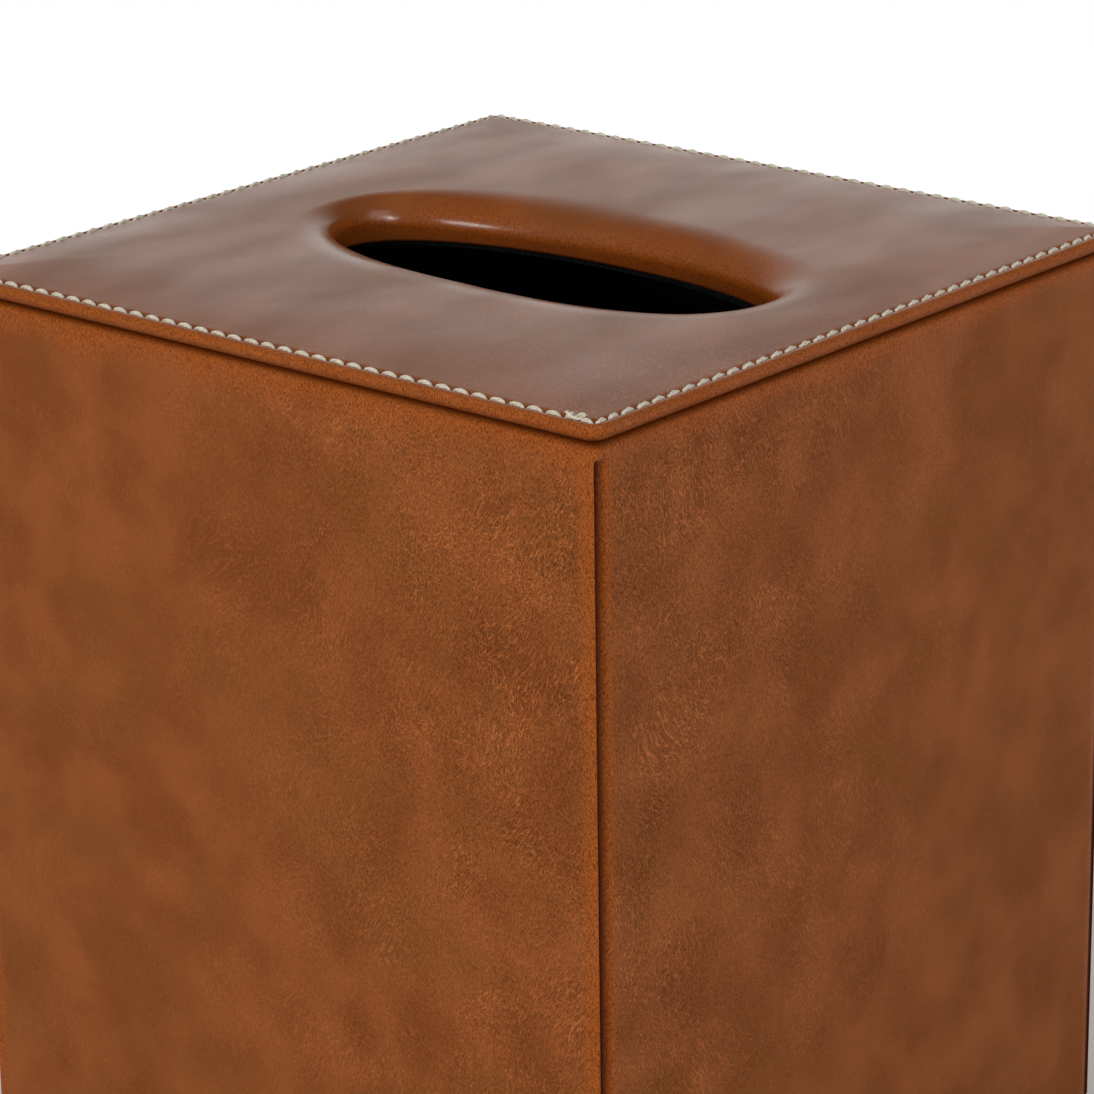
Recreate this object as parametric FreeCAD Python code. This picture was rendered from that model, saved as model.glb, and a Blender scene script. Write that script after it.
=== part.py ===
# Tissue box with drawer: a leather-covered box with a lift-off lid that has an
# oval tissue opening, and a shallow drawer below the tissue compartment.
# Lengths are in millimetres. +Z is up, the drawer opens towards -Y and the
# origin is at the bottom centre of the closed box.
import os
import math
import FreeCAD
import Part

V = FreeCAD.Vector

# ---- driving dimensions: body -------------------------------------------------
leather = 0.8                 # thickness of the leather on the walls
board = 4.0                   # thickness of the wall, base and shelf boards
body_side = 133.6             # outer width and depth over the leather
cover_thickness = 2.0         # felt sheet that the box stands on
cover_margin = 2.0
bay_height = 31.0             # drawer bay between base and shelf
compartment_height = 114.0    # from the shelf board to the top of the wall boards
top_roll = 1.5                # rounding of the leather over the top of the walls
lining = 0.4                  # black lining of the compartment

# ---- driving dimensions: corner slits ------------------------------------------
slit_width = 1.2              # between the front skin and the side skin
slit_bridge = 4.0             # height of closed leather above a slit
skin_cut_back = 0.4           # front and back skins stop short of the side faces
skin_edge_round = 0.5         # turned edge of a side skin along the slit

# ---- driving dimensions: lid ---------------------------------------------------
lid_overhang = 0.7            # the lid stands out over the body all round
lid_corner = 4.0              # corner radius in plan
lid_skin = 0.7                # thickness of the leather on the lid
lid_edge_height = 2.7         # from the underside of the lid to its flat rim
lid_edge_round = 0.7
lid_foam_height = 0.8
foam_margin_low = 5.5         # from the lid edge to the foot of the padding
foam_margin_high = 9.0        # from the lid edge to the level part of the padding
plug_thickness = 5.0          # board under the lid that fits between the walls
plug_clearance = 0.4          # from the plug to the compartment lining
plug_lining_margin = 0.5      # lining stops short of the plug's edge
sleeve_clearance = 0.05       # lining sleeve in the hole of the plug
plug_overlap = 0.7            # the plug reaches up to the lid board
opening_x = -0.8              # centre of the oval opening
opening_y = -0.6
opening_a = 44.6              # half length of the opening at its narrowest
opening_b = 17.3              # half width of the opening at its narrowest
rim_radius = 5.0              # roll of the leather into the opening
rim_sink = 1.0                # crest of the roll below the flat rim of the lid
rim_shoulder = 7.0            # width of the slope from the padding down to the crest
rim_drop = 5.4                # depth of the leather below the crest

# ---- driving dimensions: stitching ---------------------------------------------
stitch_pitch = 3.482
stitch_gap = 0.35
stitch_width = 0.9
stitch_height = 0.4
stitch_inset = 1.4            # from the lid edge to the middle of the seam
stitch_first = 7.05           # from a start corner to the first full stitch
stitch_last = 8.0             # least length left for the last short stitches

# ---- driving dimensions: drawer ------------------------------------------------
reveal_depth = 10.0           # leather turned into the drawer opening
drawer_gap = 0.7              # gap round the drawer front
drawer_board = 3.0            # side and back boards of the drawer
drawer_bottom_board = 2.5
drawer_head_room = 7.4        # from the drawer sides to the shelf
drawer_lining = 0.4
glide_height = 0.6
glide_width = 12.0
glide_inset = 1.0             # from the drawer's outer face
glide_setback = 2.0           # from the front face of the boards
bumper_thickness = 1.5
bumper_radius = 4.0
bumper_inset = 14.0           # from the drawer's outer face

# ---- driving dimensions: pull tab ----------------------------------------------
tab_width = 14.0
tab_leather = 1.2
tab_corner = 3.0
tab_loop_radius = 6.0
tab_drop = 11.0               # from the post to the middle of the loop
tab_clamp = 4.5               # flat length above and below the post
post_rise = 3.2               # from the middle of the drawer front to the post
post_radius = 2.2
post_clearance = 0.05         # post in the holes of the tab, leather and board
shank_clearance = 0.05        # screw shank in the bore of its post
screw_short = 1.0             # the shank ends this far inside the front leather
screw_slot = 1.0
head_gap = 0.3                # lining cut out round the screw head
post_bore = 1.3
post_head_radius = 4.5
post_head_height = 1.4
screw_head_radius = 3.8
screw_head_height = 1.0

# ---- derived positions ---------------------------------------------------------
half = body_side / 2
lid_side = body_side + 2 * lid_overhang
board_out = half - leather                    # outer face of the wall boards
board_in = board_out - board                  # inner face of the wall boards
base_z = cover_thickness
floor_z = base_z + board                      # floor of the drawer bay
shelf_z = floor_z + bay_height
shelf_top = shelf_z + board
wall_top = shelf_top + compartment_height
seat_z = wall_top + leather                   # the lid rests here
lid_rim_z = seat_z + lid_edge_height
lid_top = lid_rim_z + lid_foam_height
crest_z = lid_rim_z - rim_sink
leather_end_z = crest_z - rim_drop
plug_half = board_in - lining - plug_clearance
plug_low = seat_z + plug_overlap - plug_thickness
reveal_half = board_in - leather              # half width of the drawer opening
reveal_top = shelf_z - leather
front_half = reveal_half - drawer_gap         # half width of the drawer front
drawer_low = floor_z + glide_height
front_high = reveal_top - drawer_gap
front_back_y = -board_out + board             # back face of the drawer front board
drawer_back_y = board_in - bumper_thickness
drawer_top = shelf_z - drawer_head_room
post_z = (drawer_low + front_high) / 2 + post_rise
tab_loop_z = post_z - tab_drop
tab_clamp_low = post_z - tab_clamp
tab_clamp_high = post_z + tab_clamp
lid_board_low = seat_z + lid_skin
lid_board_high = lid_rim_z - lid_skin


def box(x0, x1, y0, y1, z0, z1):
    return Part.makeBox(x1 - x0, y1 - y0, z1 - z0, V(x0, y0, z0))


def rod_y(radius, y0, y1, x, z):
    return Part.makeCylinder(radius, y1 - y0, V(x, y0, z), V(0, 1, 0))


def fillet_where(shape, radius, wanted):
    edges = [e for e in shape.Edges if wanted(e)]
    return shape.makeFillet(radius, edges)


def runs_along(edge, axis):
    d = edge.Vertexes[-1].Point - edge.Vertexes[0].Point
    return d.Length > 1e-6 and abs(abs(d.normalize().dot(axis)) - 1) < 1e-6


def rounded_slab(side, corner, z0, z1):
    h = side / 2
    slab = box(-h, h, -h, h, z0, z1)
    return fillet_where(slab, corner, lambda e: runs_along(e, V(0, 0, 1)))


def round_rim(slab, radius, z):
    # Rounds the whole outline of a slab at one height.
    def at_height(edge):
        return all(abs(v.Point.z - z) < 1e-6 for v in edge.Vertexes)
    return fillet_where(slab, radius, at_height)


def square_wire(side, corner, z):
    slab = rounded_slab(side, corner, z, z + 1.0)
    low = [f for f in slab.Faces if abs(f.CenterOfMass.z - z) < 1e-6]
    return low[0].OuterWire


def frustum(low_side, high_side, corner, z0, z1):
    wires = [square_wire(low_side, corner, z0), square_wire(high_side, corner, z1)]
    return Part.makeLoft(wires, True, True)


def oval_wire(grow, z):
    centre = V(opening_x, opening_y, z)
    oval = Part.Ellipse(centre, opening_a + grow, opening_b + grow)
    return Part.Wire([oval.toShape()])


def oval_prism(grow, z0, z1):
    return Part.makeLoft([oval_wire(grow, z0), oval_wire(grow, z1)], True, True)


def opening_tool(inset):
    # The space inside the rolled rim, at a depth of inset under its surface.
    r = rim_radius - inset
    centre_z = crest_z - rim_radius
    wide = rim_radius + rim_shoulder
    wires = [oval_wire(wide, lid_top + 1.0), oval_wire(wide, lid_top - inset)]
    for step in range(7):
        angle = math.radians(90 - 15 * step)
        grow = rim_radius - r * math.cos(angle)
        wires.append(oval_wire(grow, centre_z + r * math.sin(angle)))
    wires.append(oval_wire(inset, plug_low - 2.0))
    return Part.makeLoft(wires, True, True)


# ---- body boards ---------------------------------------------------------------
def base_board():
    return box(-board_out, board_out, -board_out, board_out, base_z, floor_z)


def side_wall_board(sign):
    x0, x1 = sorted((sign * board_in, sign * board_out))
    return box(x0, x1, -board_out, board_out, floor_z, wall_top)


def back_wall_board():
    return box(-board_in, board_in, board_in, board_out, floor_z, wall_top)


def front_wall_board():
    return box(-board_in, board_in, -board_out, -board_in, shelf_z, wall_top)


def shelf_board():
    return box(-board_in, board_in, -board_in, board_in, shelf_z, shelf_top)


# ---- body leather --------------------------------------------------------------
def side_skin(sign):
    # Plate with a turned edge at each slit, closed again just under the lid.
    slit_y = board_out - slit_width
    plate = box(board_out, half, -slit_y, slit_y, base_z, seat_z)
    plate = fillet_where(plate, skin_edge_round, slit_edge(half))
    bridge = box(board_out, half, -board_out, board_out, seat_z - slit_bridge, seat_z)
    cap = box(board_in, board_out, -board_out, board_out, wall_top, seat_z)
    skin = plate.fuse([bridge, cap]).removeSplitter()
    skin = fillet_where(skin, top_roll, top_outer_edge(V(1, 0, 0), half))
    if sign < 0:
        skin = skin.mirror(V(0, 0, 0), V(1, 0, 0))
    return skin


def slit_edge(x):
    def wanted(edge):
        on_face = all(abs(v.Point.x - x) < 1e-6 for v in edge.Vertexes)
        return on_face and runs_along(edge, V(0, 0, 1))
    return wanted


def top_outer_edge(normal, distance):
    def wanted(edge):
        points = [v.Point for v in edge.Vertexes]
        on_face = all(abs(p.dot(normal) - distance) < 1e-6 for p in points)
        return on_face and all(abs(p.z - seat_z) < 1e-6 for p in points)
    return wanted


def end_plate(normal_sign):
    # Skin of the front or the back wall, cut off square at the corners.
    reach = half - skin_cut_back
    y0, y1 = sorted((normal_sign * board_out, normal_sign * half))
    plate = box(-reach, reach, y0, y1, base_z, seat_z)
    c0, c1 = sorted((normal_sign * board_in, normal_sign * board_out))
    cap = box(-board_in, board_in, c0, c1, wall_top, seat_z)
    skin = plate.fuse(cap).removeSplitter()
    return fillet_where(skin, top_roll, top_outer_edge(V(0, normal_sign, 0), half))


def front_skin():
    # The leather is turned back into the drawer opening on three sides.
    window = box(-reveal_half, reveal_half, -half - 1, 0, floor_z, reveal_top)
    depth = -board_out + reveal_depth
    lip = box(-board_in, board_in, -board_out, depth, floor_z, shelf_z)
    return end_plate(-1).fuse(lip).cut(window).removeSplitter()


def base_cover():
    h = half - cover_margin
    return box(-h, h, -h, h, 0, base_z)


def wall_lining():
    outer = box(-board_in, board_in, -board_in, board_in, shelf_top, wall_top)
    h = board_in - lining
    return outer.cut(box(-h, h, -h, h, shelf_top, wall_top))


def shelf_lining():
    h = board_in - lining
    return box(-h, h, -h, h, shelf_top, shelf_top + lining)


def drawer_glides():
    x1 = front_half - glide_inset
    x0 = x1 - glide_width
    y0 = -board_out + glide_setback
    strips = [box(x0, x1, y0, board_in, floor_z, drawer_low),
              box(-x1, -x0, y0, board_in, floor_z, drawer_low)]
    return Part.makeCompound(strips)


def drawer_bumpers():
    x = front_half - bumper_inset
    z = (drawer_low + drawer_top) / 2
    pads = [rod_y(bumper_radius, drawer_back_y, board_in, s * x, z) for s in (-1, 1)]
    return Part.makeCompound(pads)


# ---- lid -----------------------------------------------------------------------
def lid_content():
    # Everything that the lid leather is wrapped round, before the opening.
    side = lid_side - 2 * lid_skin
    slab = rounded_slab(side, lid_corner - lid_skin, lid_board_low, lid_board_high)
    low = lid_side - 2 * foam_margin_low
    high = lid_side - 2 * foam_margin_high
    pad = frustum(low, high, lid_corner, lid_board_high, lid_board_high + lid_foam_height)
    return slab, pad


def lid_board():
    return lid_content()[0].cut(opening_tool(lid_skin))


def lid_foam():
    return lid_content()[1].cut(opening_tool(lid_skin))


def lid_shell():
    slab = rounded_slab(lid_side, lid_corner, seat_z, lid_rim_z)
    slab = round_rim(slab, lid_edge_round, lid_rim_z)
    slab = round_rim(slab, lid_edge_round, seat_z)
    low = lid_side - 2 * foam_margin_low
    high = lid_side - 2 * foam_margin_high
    pad = frustum(low, high, lid_corner, lid_rim_z, lid_top)
    return slab.fuse(pad)


def lid_leather():
    inner = opening_tool(lid_skin)
    slab, pad = lid_content()
    shell = lid_shell().cut(plug_block()).cut(slab.cut(inner)).cut(pad.cut(inner))
    limit = lid_side / 2
    sleeve_zone = box(-limit, limit, -limit, limit, leather_end_z, lid_board_low)
    sleeve = inner.common(sleeve_zone)
    return shell.fuse(sleeve).cut(opening_tool(0.0)).removeSplitter()


def plug_block():
    h = plug_half
    return box(-h, h, -h, h, plug_low, lid_board_low)


def lid_plug_board():
    return plug_block().cut(opening_tool(lid_skin))


def lid_plug_lining():
    h = plug_half - plug_lining_margin
    sheet = box(-h, h, -h, h, plug_low - lining, plug_low)
    sleeve = oval_prism(lid_skin - sleeve_clearance, plug_low - lining, leather_end_z)
    bore = oval_prism(lid_skin - lining, plug_low - 2.0, lid_top)
    return sheet.fuse(sleeve).cut(bore).removeSplitter()


def seam_marks():
    # Ends of the stitches along one side, measured from its start corner.
    start = stitch_inset
    end = lid_side - stitch_inset
    marks = [start, (start + stitch_first) / 2]
    count = int((lid_side - stitch_first - stitch_last) / stitch_pitch)
    marks += [stitch_first + stitch_pitch * i for i in range(count + 1)]
    rest = (end - marks[-1]) / 3
    marks += [marks[-1] + rest, marks[-1] + 2 * rest, end]
    return marks


def stitch_row():
    # One row along the front edge, which starts at the +X end.
    h = lid_side / 2
    y = -h + stitch_inset
    marks = seam_marks()
    row = []
    for a, b in zip(marks, marks[1:]):
        x0 = h - b + stitch_gap / 2
        x1 = h - a - stitch_gap / 2
        half_w = stitch_width / 2
        row.append(box(x0, x1, y - half_w, y + half_w, lid_rim_z, lid_rim_z + stitch_height))
    return row


def lid_stitching():
    row = stitch_row()
    diagonal = V(1, 1, 0)
    rows = list(row)
    # The right row mirrors the front row about the diagonal through the start corner.
    right = [s.mirror(V(0, 0, 0), diagonal) for s in row]
    rows += right
    rows += [turned(s) for s in row]
    rows += [turned(s) for s in right]
    return Part.makeCompound(trimmed_corners(rows))


def turned(solid):
    copy = solid.copy()
    copy.rotate(V(0, 0, 0), V(0, 0, 1), 180)
    return copy


def trimmed_corners(rows):
    # At a corner the two end stitches would cross, so each keeps to its own side.
    kept = []
    clear = stitch_width / 2 + stitch_gap / 2
    h = lid_side / 2 - stitch_inset
    for s in rows:
        c = s.BoundBox
        along_x = c.XLength > c.YLength
        lo, hi = (c.XMin, c.XMax) if along_x else (c.YMin, c.YMax)
        lo = max(lo, -h + clear)
        hi = min(hi, h - clear)
        if along_x:
            kept.append(box(lo, hi, c.YMin, c.YMax, c.ZMin, c.ZMax))
        else:
            kept.append(box(c.XMin, c.XMax, lo, hi, c.ZMin, c.ZMax))
    return kept


# ---- drawer --------------------------------------------------------------------
def pull_hole(radius, y0, y1):
    return rod_y(radius, y0, y1, 0, post_z)


def drawer_front_board():
    h = front_half - leather
    b = box(-h, h, -board_out, front_back_y, drawer_low + leather, front_high - leather)
    return b.cut(pull_hole(post_radius + post_clearance, -half - 5, 0))


def drawer_front_leather():
    h = front_half
    wrap = box(-h, h, -half, front_back_y, drawer_low, front_high)
    hi = front_half - leather
    core = box(-hi, hi, -board_out, front_back_y, drawer_low + leather, front_high - leather)
    return wrap.cut(core).cut(pull_hole(post_radius + post_clearance, -half - 5, 0))


def drawer_side(sign):
    x0, x1 = sorted((sign * (front_half - drawer_board), sign * front_half))
    return box(x0, x1, front_back_y, drawer_back_y, drawer_low, drawer_top)


def drawer_back():
    h = front_half - drawer_board
    return box(-h, h, drawer_back_y - drawer_board, drawer_back_y, drawer_low, drawer_top)


def drawer_bottom():
    h = front_half - drawer_board
    y1 = drawer_back_y - drawer_board
    return box(-h, h, front_back_y, y1, drawer_low, drawer_low + drawer_bottom_board)


def drawer_bottom_lining():
    h = front_half - drawer_board
    z = drawer_low + drawer_bottom_board
    y1 = drawer_back_y - drawer_board
    return box(-h, h, front_back_y, y1, z, z + drawer_lining)


def drawer_wall_lining():
    h = front_half - drawer_board
    y1 = drawer_back_y - drawer_board
    z0 = drawer_low + drawer_bottom_board + drawer_lining
    z1 = drawer_top
    t = drawer_lining
    ring = box(-h, h, front_back_y, y1, z0, z1)
    ring = ring.cut(box(-h + t, h - t, front_back_y + t, y1 - t, z0, z1))
    return ring.cut(pull_hole(screw_head_radius + head_gap, front_back_y - 1, 0))


# ---- pull tab ------------------------------------------------------------------
def tangent_prism(cy, cz, r, apex_y, apex_z):
    # Triangle from an apex to the outer tangent point of a circle, with the
    # circle's middle as its third corner.
    dy, dz = apex_y - cy, apex_z - cz
    d = math.hypot(dy, dz)
    turn = math.acos(r / d)
    base = math.atan2(dz, dy)
    ang = base + turn
    ty, tz = cy + r * math.cos(ang), cz + r * math.sin(ang)
    return [(apex_y, apex_z), (ty, tz), (cy, cz)]


def yz_prism(points, half_width):
    pts = [V(-half_width, y, z) for y, z in points]
    face = Part.Face(Part.makePolygon(pts + [pts[0]]))
    return face.extrude(V(2 * half_width, 0, 0))


def teardrop(r, outer_y, back_y, half_width):
    cy = -half - tab_loop_radius
    cz = tab_loop_z
    disc = Part.makeCylinder(r, 2 * half_width, V(-half_width, cy, cz), V(1, 0, 0))
    outer = tangent_prism(cy, cz, r, outer_y, tab_clamp_low)
    fan = yz_prism(outer, half_width)
    neck = yz_prism([(outer_y, tab_clamp_low), (cy, cz), (cy + r, cz),
                     (back_y, tab_clamp_low)], half_width)
    return disc.fuse([fan, neck]).removeSplitter()


def pull_tab():
    w = tab_width / 2
    outer_y = -half - 2 * tab_leather
    loop = teardrop(tab_loop_radius, outer_y, -half, w)
    hole = teardrop(tab_loop_radius - tab_leather, -half - tab_leather,
                    -half - tab_leather, w)
    clamp = box(-w, w, outer_y, -half, tab_clamp_low, tab_clamp_high)
    clamp = fillet_where(clamp, tab_corner, tab_top_corner)
    bore = pull_hole(post_radius + post_clearance, -half - 5, 0)
    return loop.cut(hole).fuse(clamp).cut(bore).removeSplitter()


def tab_top_corner(edge):
    high = all(abs(v.Point.z - tab_clamp_high) < 1e-6 for v in edge.Vertexes)
    return high and runs_along(edge, V(0, 1, 0))


def pull_post():
    face_y = -half - 2 * tab_leather
    head = pull_hole(post_head_radius, face_y - post_head_height, face_y)
    head = fillet_where(head, post_head_height * 0.7,
                        lambda e: abs(e.BoundBox.YMax - (face_y - post_head_height)) < 1e-6)
    shank = pull_hole(post_radius, face_y, front_back_y)
    return head.fuse(shank).removeSplitter().cut(pull_hole(post_bore, face_y, front_back_y))


def pull_screw():
    head = pull_hole(screw_head_radius, front_back_y, front_back_y + screw_head_height)
    slot_depth = screw_head_height * 0.5
    top = front_back_y + screw_head_height
    slot = box(-screw_head_radius, screw_head_radius, top - slot_depth, top,
               post_z - screw_slot / 2, post_z + screw_slot / 2)
    shank = pull_hole(post_bore - shank_clearance, -half + screw_short, front_back_y)
    return head.cut(slot).fuse(shank).removeSplitter()


def nodes():
    return {
        "base_board": base_board(),
        "left_wall_board": side_wall_board(-1),
        "right_wall_board": side_wall_board(1),
        "back_wall_board": back_wall_board(),
        "front_wall_board": front_wall_board(),
        "shelf_board": shelf_board(),
        "left_skin": side_skin(-1),
        "right_skin": side_skin(1),
        "back_skin": end_plate(1),
        "front_skin": front_skin(),
        "base_cover": base_cover(),
        "wall_lining": wall_lining(),
        "shelf_lining": shelf_lining(),
        "drawer_glides": drawer_glides(),
        "drawer_bumpers": drawer_bumpers(),
        "lid_board": lid_board(),
        "lid_foam": lid_foam(),
        "lid_leather": lid_leather(),
        "lid_stitching": lid_stitching(),
        "lid_plug_board": lid_plug_board(),
        "lid_plug_lining": lid_plug_lining(),
        "drawer_front_board": drawer_front_board(),
        "drawer_front_leather": drawer_front_leather(),
        "drawer_left_side": drawer_side(-1),
        "drawer_right_side": drawer_side(1),
        "drawer_back": drawer_back(),
        "drawer_bottom": drawer_bottom(),
        "drawer_bottom_lining": drawer_bottom_lining(),
        "drawer_wall_lining": drawer_wall_lining(),
        "pull_tab": pull_tab(),
        "pull_post": pull_post(),
        "pull_screw": pull_screw(),
    }


def main():
    os.makedirs("parts", exist_ok=True)
    for name, shape in nodes().items():
        if not shape.isValid() or shape.Volume <= 0:
            raise ValueError(name + " is not a valid solid")
        shape.exportStep("parts/" + name + ".step")
        b = shape.BoundBox
        print("%-22s solids %3d  volume %10.1f  z %7.2f to %7.2f"
              % (name, len(shape.Solids), shape.Volume, b.ZMin, b.ZMax))


main()
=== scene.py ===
# %% [markdown]
# # Tissue box with a drawer, dressed in leather
#
# The solid model of the box is already made. It arrives here as a fixed frame, in metres, with one
# object for each piece. This notebook keeps the pieces whose shape is right and gives them a finish,
# and it models again the pieces whose look depends on soft form: the leather jacket, the padded lid,
# the seam of twisted thread, the drawer's leather front and the pull tab.

import math
import random

import bmesh
import bpy
from mathutils import Matrix, Vector


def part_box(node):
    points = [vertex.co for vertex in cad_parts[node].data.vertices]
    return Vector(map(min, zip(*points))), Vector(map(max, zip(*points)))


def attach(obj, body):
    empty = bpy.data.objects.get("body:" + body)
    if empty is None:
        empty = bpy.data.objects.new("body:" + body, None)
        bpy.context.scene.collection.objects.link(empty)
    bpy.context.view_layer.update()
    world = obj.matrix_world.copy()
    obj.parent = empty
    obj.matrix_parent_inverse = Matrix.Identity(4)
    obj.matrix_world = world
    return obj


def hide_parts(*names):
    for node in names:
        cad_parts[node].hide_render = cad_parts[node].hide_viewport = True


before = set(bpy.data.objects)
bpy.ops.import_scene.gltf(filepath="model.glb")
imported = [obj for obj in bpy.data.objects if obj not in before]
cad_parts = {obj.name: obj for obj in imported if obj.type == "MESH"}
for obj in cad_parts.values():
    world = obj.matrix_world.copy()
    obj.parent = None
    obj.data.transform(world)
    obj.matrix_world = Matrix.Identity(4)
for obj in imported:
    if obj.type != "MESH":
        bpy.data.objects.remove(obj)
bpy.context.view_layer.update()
print("pieces in the frame:", len(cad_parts))

# %% [markdown]
# ## Lengths and colours
#
# The maker thinks in millimetres and Blender in metres, so every length below is written in
# millimetres and turned into metres at the last step. Colours are written as the hex codes that a
# colour chart gives. Shaders work in linear light, so one function turns a code into linear values.

# %% Helpers for lengths and colours
MM = 0.001


def linear(code):
    """A hex colour code as linear red, green, blue and alpha."""
    parts = [int(code[i:i + 2], 16) / 255 for i in (0, 2, 4)]
    curve = [c / 12.92 if c <= 0.04045 else ((c + 0.055) / 1.055) ** 2.4 for c in parts]
    return (*curve, 1.0)


def per_metre(size_mm):
    """The scale of a pattern whose features are this large."""
    return 1.0 / (size_mm * MM)


print("mid brown in linear light:", [round(c, 3) for c in linear("854822")[:3]])

# %% [markdown]
# ## One helper for shader nodes
#
# A finish is a small network of nodes. Naming each kind of node in a function of its own would hide
# what the network does, so one helper adds any node. Settings are its buttons. Inputs are its
# sockets, and each is given a value, an output of another node, or the other node itself, which
# stands for its first output in use. The settings that come back often have names.

# %% A helper that adds one node
SMOOTH = {"interpolation_type": "SMOOTHSTEP"}
COLOURS = {"data_type": "RGBA"}
MULTIPLY, MULTIPLY_ADD = {"operation": "MULTIPLY"}, {"operation": "MULTIPLY_ADD"}
MIX_SHARE, MIX_FROM, MIX_TO = 0, 6, 7               # sockets of a node that mixes colours


def fill_inputs(tree, node, inputs):
    for key, value in inputs.items():
        if isinstance(value, bpy.types.Node):
            value = next(socket for socket in value.outputs if socket.enabled)
        if isinstance(value, bpy.types.NodeSocket):
            tree.links.new(value, node.inputs[key])
        else:
            node.inputs[key].default_value = value


def add_node(tree, kind, settings=None, inputs=None):
    node = tree.nodes.new("ShaderNode" + kind)
    for name, value in (settings or {}).items():
        setattr(node, name, value)
    fill_inputs(tree, node, inputs or {})
    return node


def new_material(name):
    """An empty material with its principled shader and output."""
    material = bpy.data.materials.new(name)
    material.use_nodes = True
    tree = material.node_tree
    tree.nodes.clear()
    shader = add_node(tree, "BsdfPrincipled")
    add_node(tree, "OutputMaterial", inputs={"Surface": shader})
    return material, tree, shader


print("node helper ready")

# %% [markdown]
# ## Waxed brown leather
#
# The hide is a waxed, pull-up brown. Three things make it read as leather and not as plastic. Broad
# patches of the dye drift between red-brown and olive-brown. Fine pale wrinkles run over it in arcs
# and gather in clusters, with a finer grain between them, and both are strongest near the corner
# that is handled most. Where the hide is turned over an edge it is stretched, and the colour turns
# to a clear orange with dark pits. The mesh carries a number called wear that says how near an edge
# a point is, and one of painted shade: near black in and beside the corner grooves, where the hide
# is also dyed dark, under the lid's overhang, on the underside of the lid's edge and down in the
# opening's throat. So the edges change colour in the same way on every piece.

# %% Sizes and colours of the leather
PATCH_MM = 15.0                                     # clouds in the dye
FLOW_MM = 20.0                                      # size of the arcs that the wrinkles follow
FLOW_PUSH_MM = 5.5                                  # how far those arcs bend them
WRINKLE_MM = 0.62                                   # spacing of the wrinkles
WRINKLE_LENGTH = 7.0                                # they are this much longer than apart
GRAIN_MM = 0.18                                     # fine grain of the hide
WRINKLE_WEIGHT, GRAIN_WEIGHT = 1.45, 0.65           # how much each counts in the texture
RELIEF_MM = 0.12                                    # height of the texture
NEAR_CORNER = (-0.0668, 0.0668, 0.065)              # metres, after the height is scaled down
HEIGHT_WEIGHT = 0.42                                # height counts less than width here
STRONG_MM, FAINT_MM = 8.0, 105.0                    # texture is full within, faint beyond
FAINT_SHARE = 0.20
PIT_LEVEL = 0.62                                    # share of clear orange between the pits
EDGE_POLISH = 0.30                                  # how much smoother a worn edge is
HIDE_WARM = linear("8B4C20")
HIDE_DIM = linear("79401A")
HIDE_OLIVE = linear("7C471D")
HIDE_STRETCHED = linear("A8581B")
HIDE_STRETCHED_PIT = linear("5C260C")
HIDE_DARK_DYE_AND_SHADE = linear("3C0F02")                   # painted shade, and the dark dye of the corner grooves
print("wrinkle spacing in mm:", WRINKLE_MM)


# %% Patterns in the hide
def bent_place(tree, place):
    """Coordinates pushed about by a slow noise, so the wrinkles run in arcs."""
    flow = add_node(tree, "TexNoise", inputs={"Vector": place, "Scale": per_metre(FLOW_MM),
                                              "Detail": 1.0})
    return add_node(tree, "VectorMath", MULTIPLY_ADD,
                    {0: flow.outputs["Color"], 1: (2 * FLOW_PUSH_MM * MM,) * 3, 2: place})


def wrinkle_lines(tree, bent):
    """1 along each wrinkle and a little under 0 between them."""
    tilted = add_node(tree, "Mapping", inputs={"Vector": bent, "Rotation": (0.42, 0.42, 0.3)})
    drawn = add_node(tree, "Mapping", inputs={"Vector": tilted,
                                              "Scale": (1, 1, 1 / WRINKLE_LENGTH)})
    noise = add_node(tree, "TexNoise", inputs={"Vector": drawn, "Detail": 1.5,
                                               "Scale": per_metre(WRINKLE_MM)})
    middle = add_node(tree, "Math", {"operation": "SUBTRACT"}, {0: noise, 1: 0.5})
    ridge = add_node(tree, "Math", {"operation": "ABSOLUTE"}, {0: middle})
    return add_node(tree, "MapRange", SMOOTH, {"Value": ridge, "From Min": 0.0, "From Max": 0.040,
                                               "To Min": 1.0, "To Max": -0.18})


def fine_grain(tree, place):
    """A pebble grain with values mostly between -1 and 1."""
    laid = add_node(tree, "Mapping", inputs={"Vector": place, "Scale": (1, 1, 0.42),
                                             "Rotation": (0.5, 0.5, 0.3)})
    grain = add_node(tree, "TexNoise", inputs={"Vector": laid, "Detail": 1.5, "Roughness": 0.7,
                                               "Scale": per_metre(GRAIN_MM)})
    return add_node(tree, "MapRange", {"clamp": False},
                    {"Value": grain, "From Min": 0.34, "From Max": 0.66,
                     "To Min": -1.0, "To Max": 1.0})


def dye_clouds(tree, bent, drawn_out):
    """Three independent masks, which are the colour channels of one noise."""
    laid = add_node(tree, "Mapping", inputs={"Vector": bent, "Scale": (1, 1 / drawn_out, 1)})
    cloud = add_node(tree, "TexNoise", inputs={"Vector": laid, "Detail": 2.5, "Roughness": 0.5,
                                               "Scale": per_metre(PATCH_MM)})
    return add_node(tree, "SeparateColor", inputs={0: cloud.outputs["Color"]}).outputs


print("patterns ready: arcs, wrinkles, grain and clouds")


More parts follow.
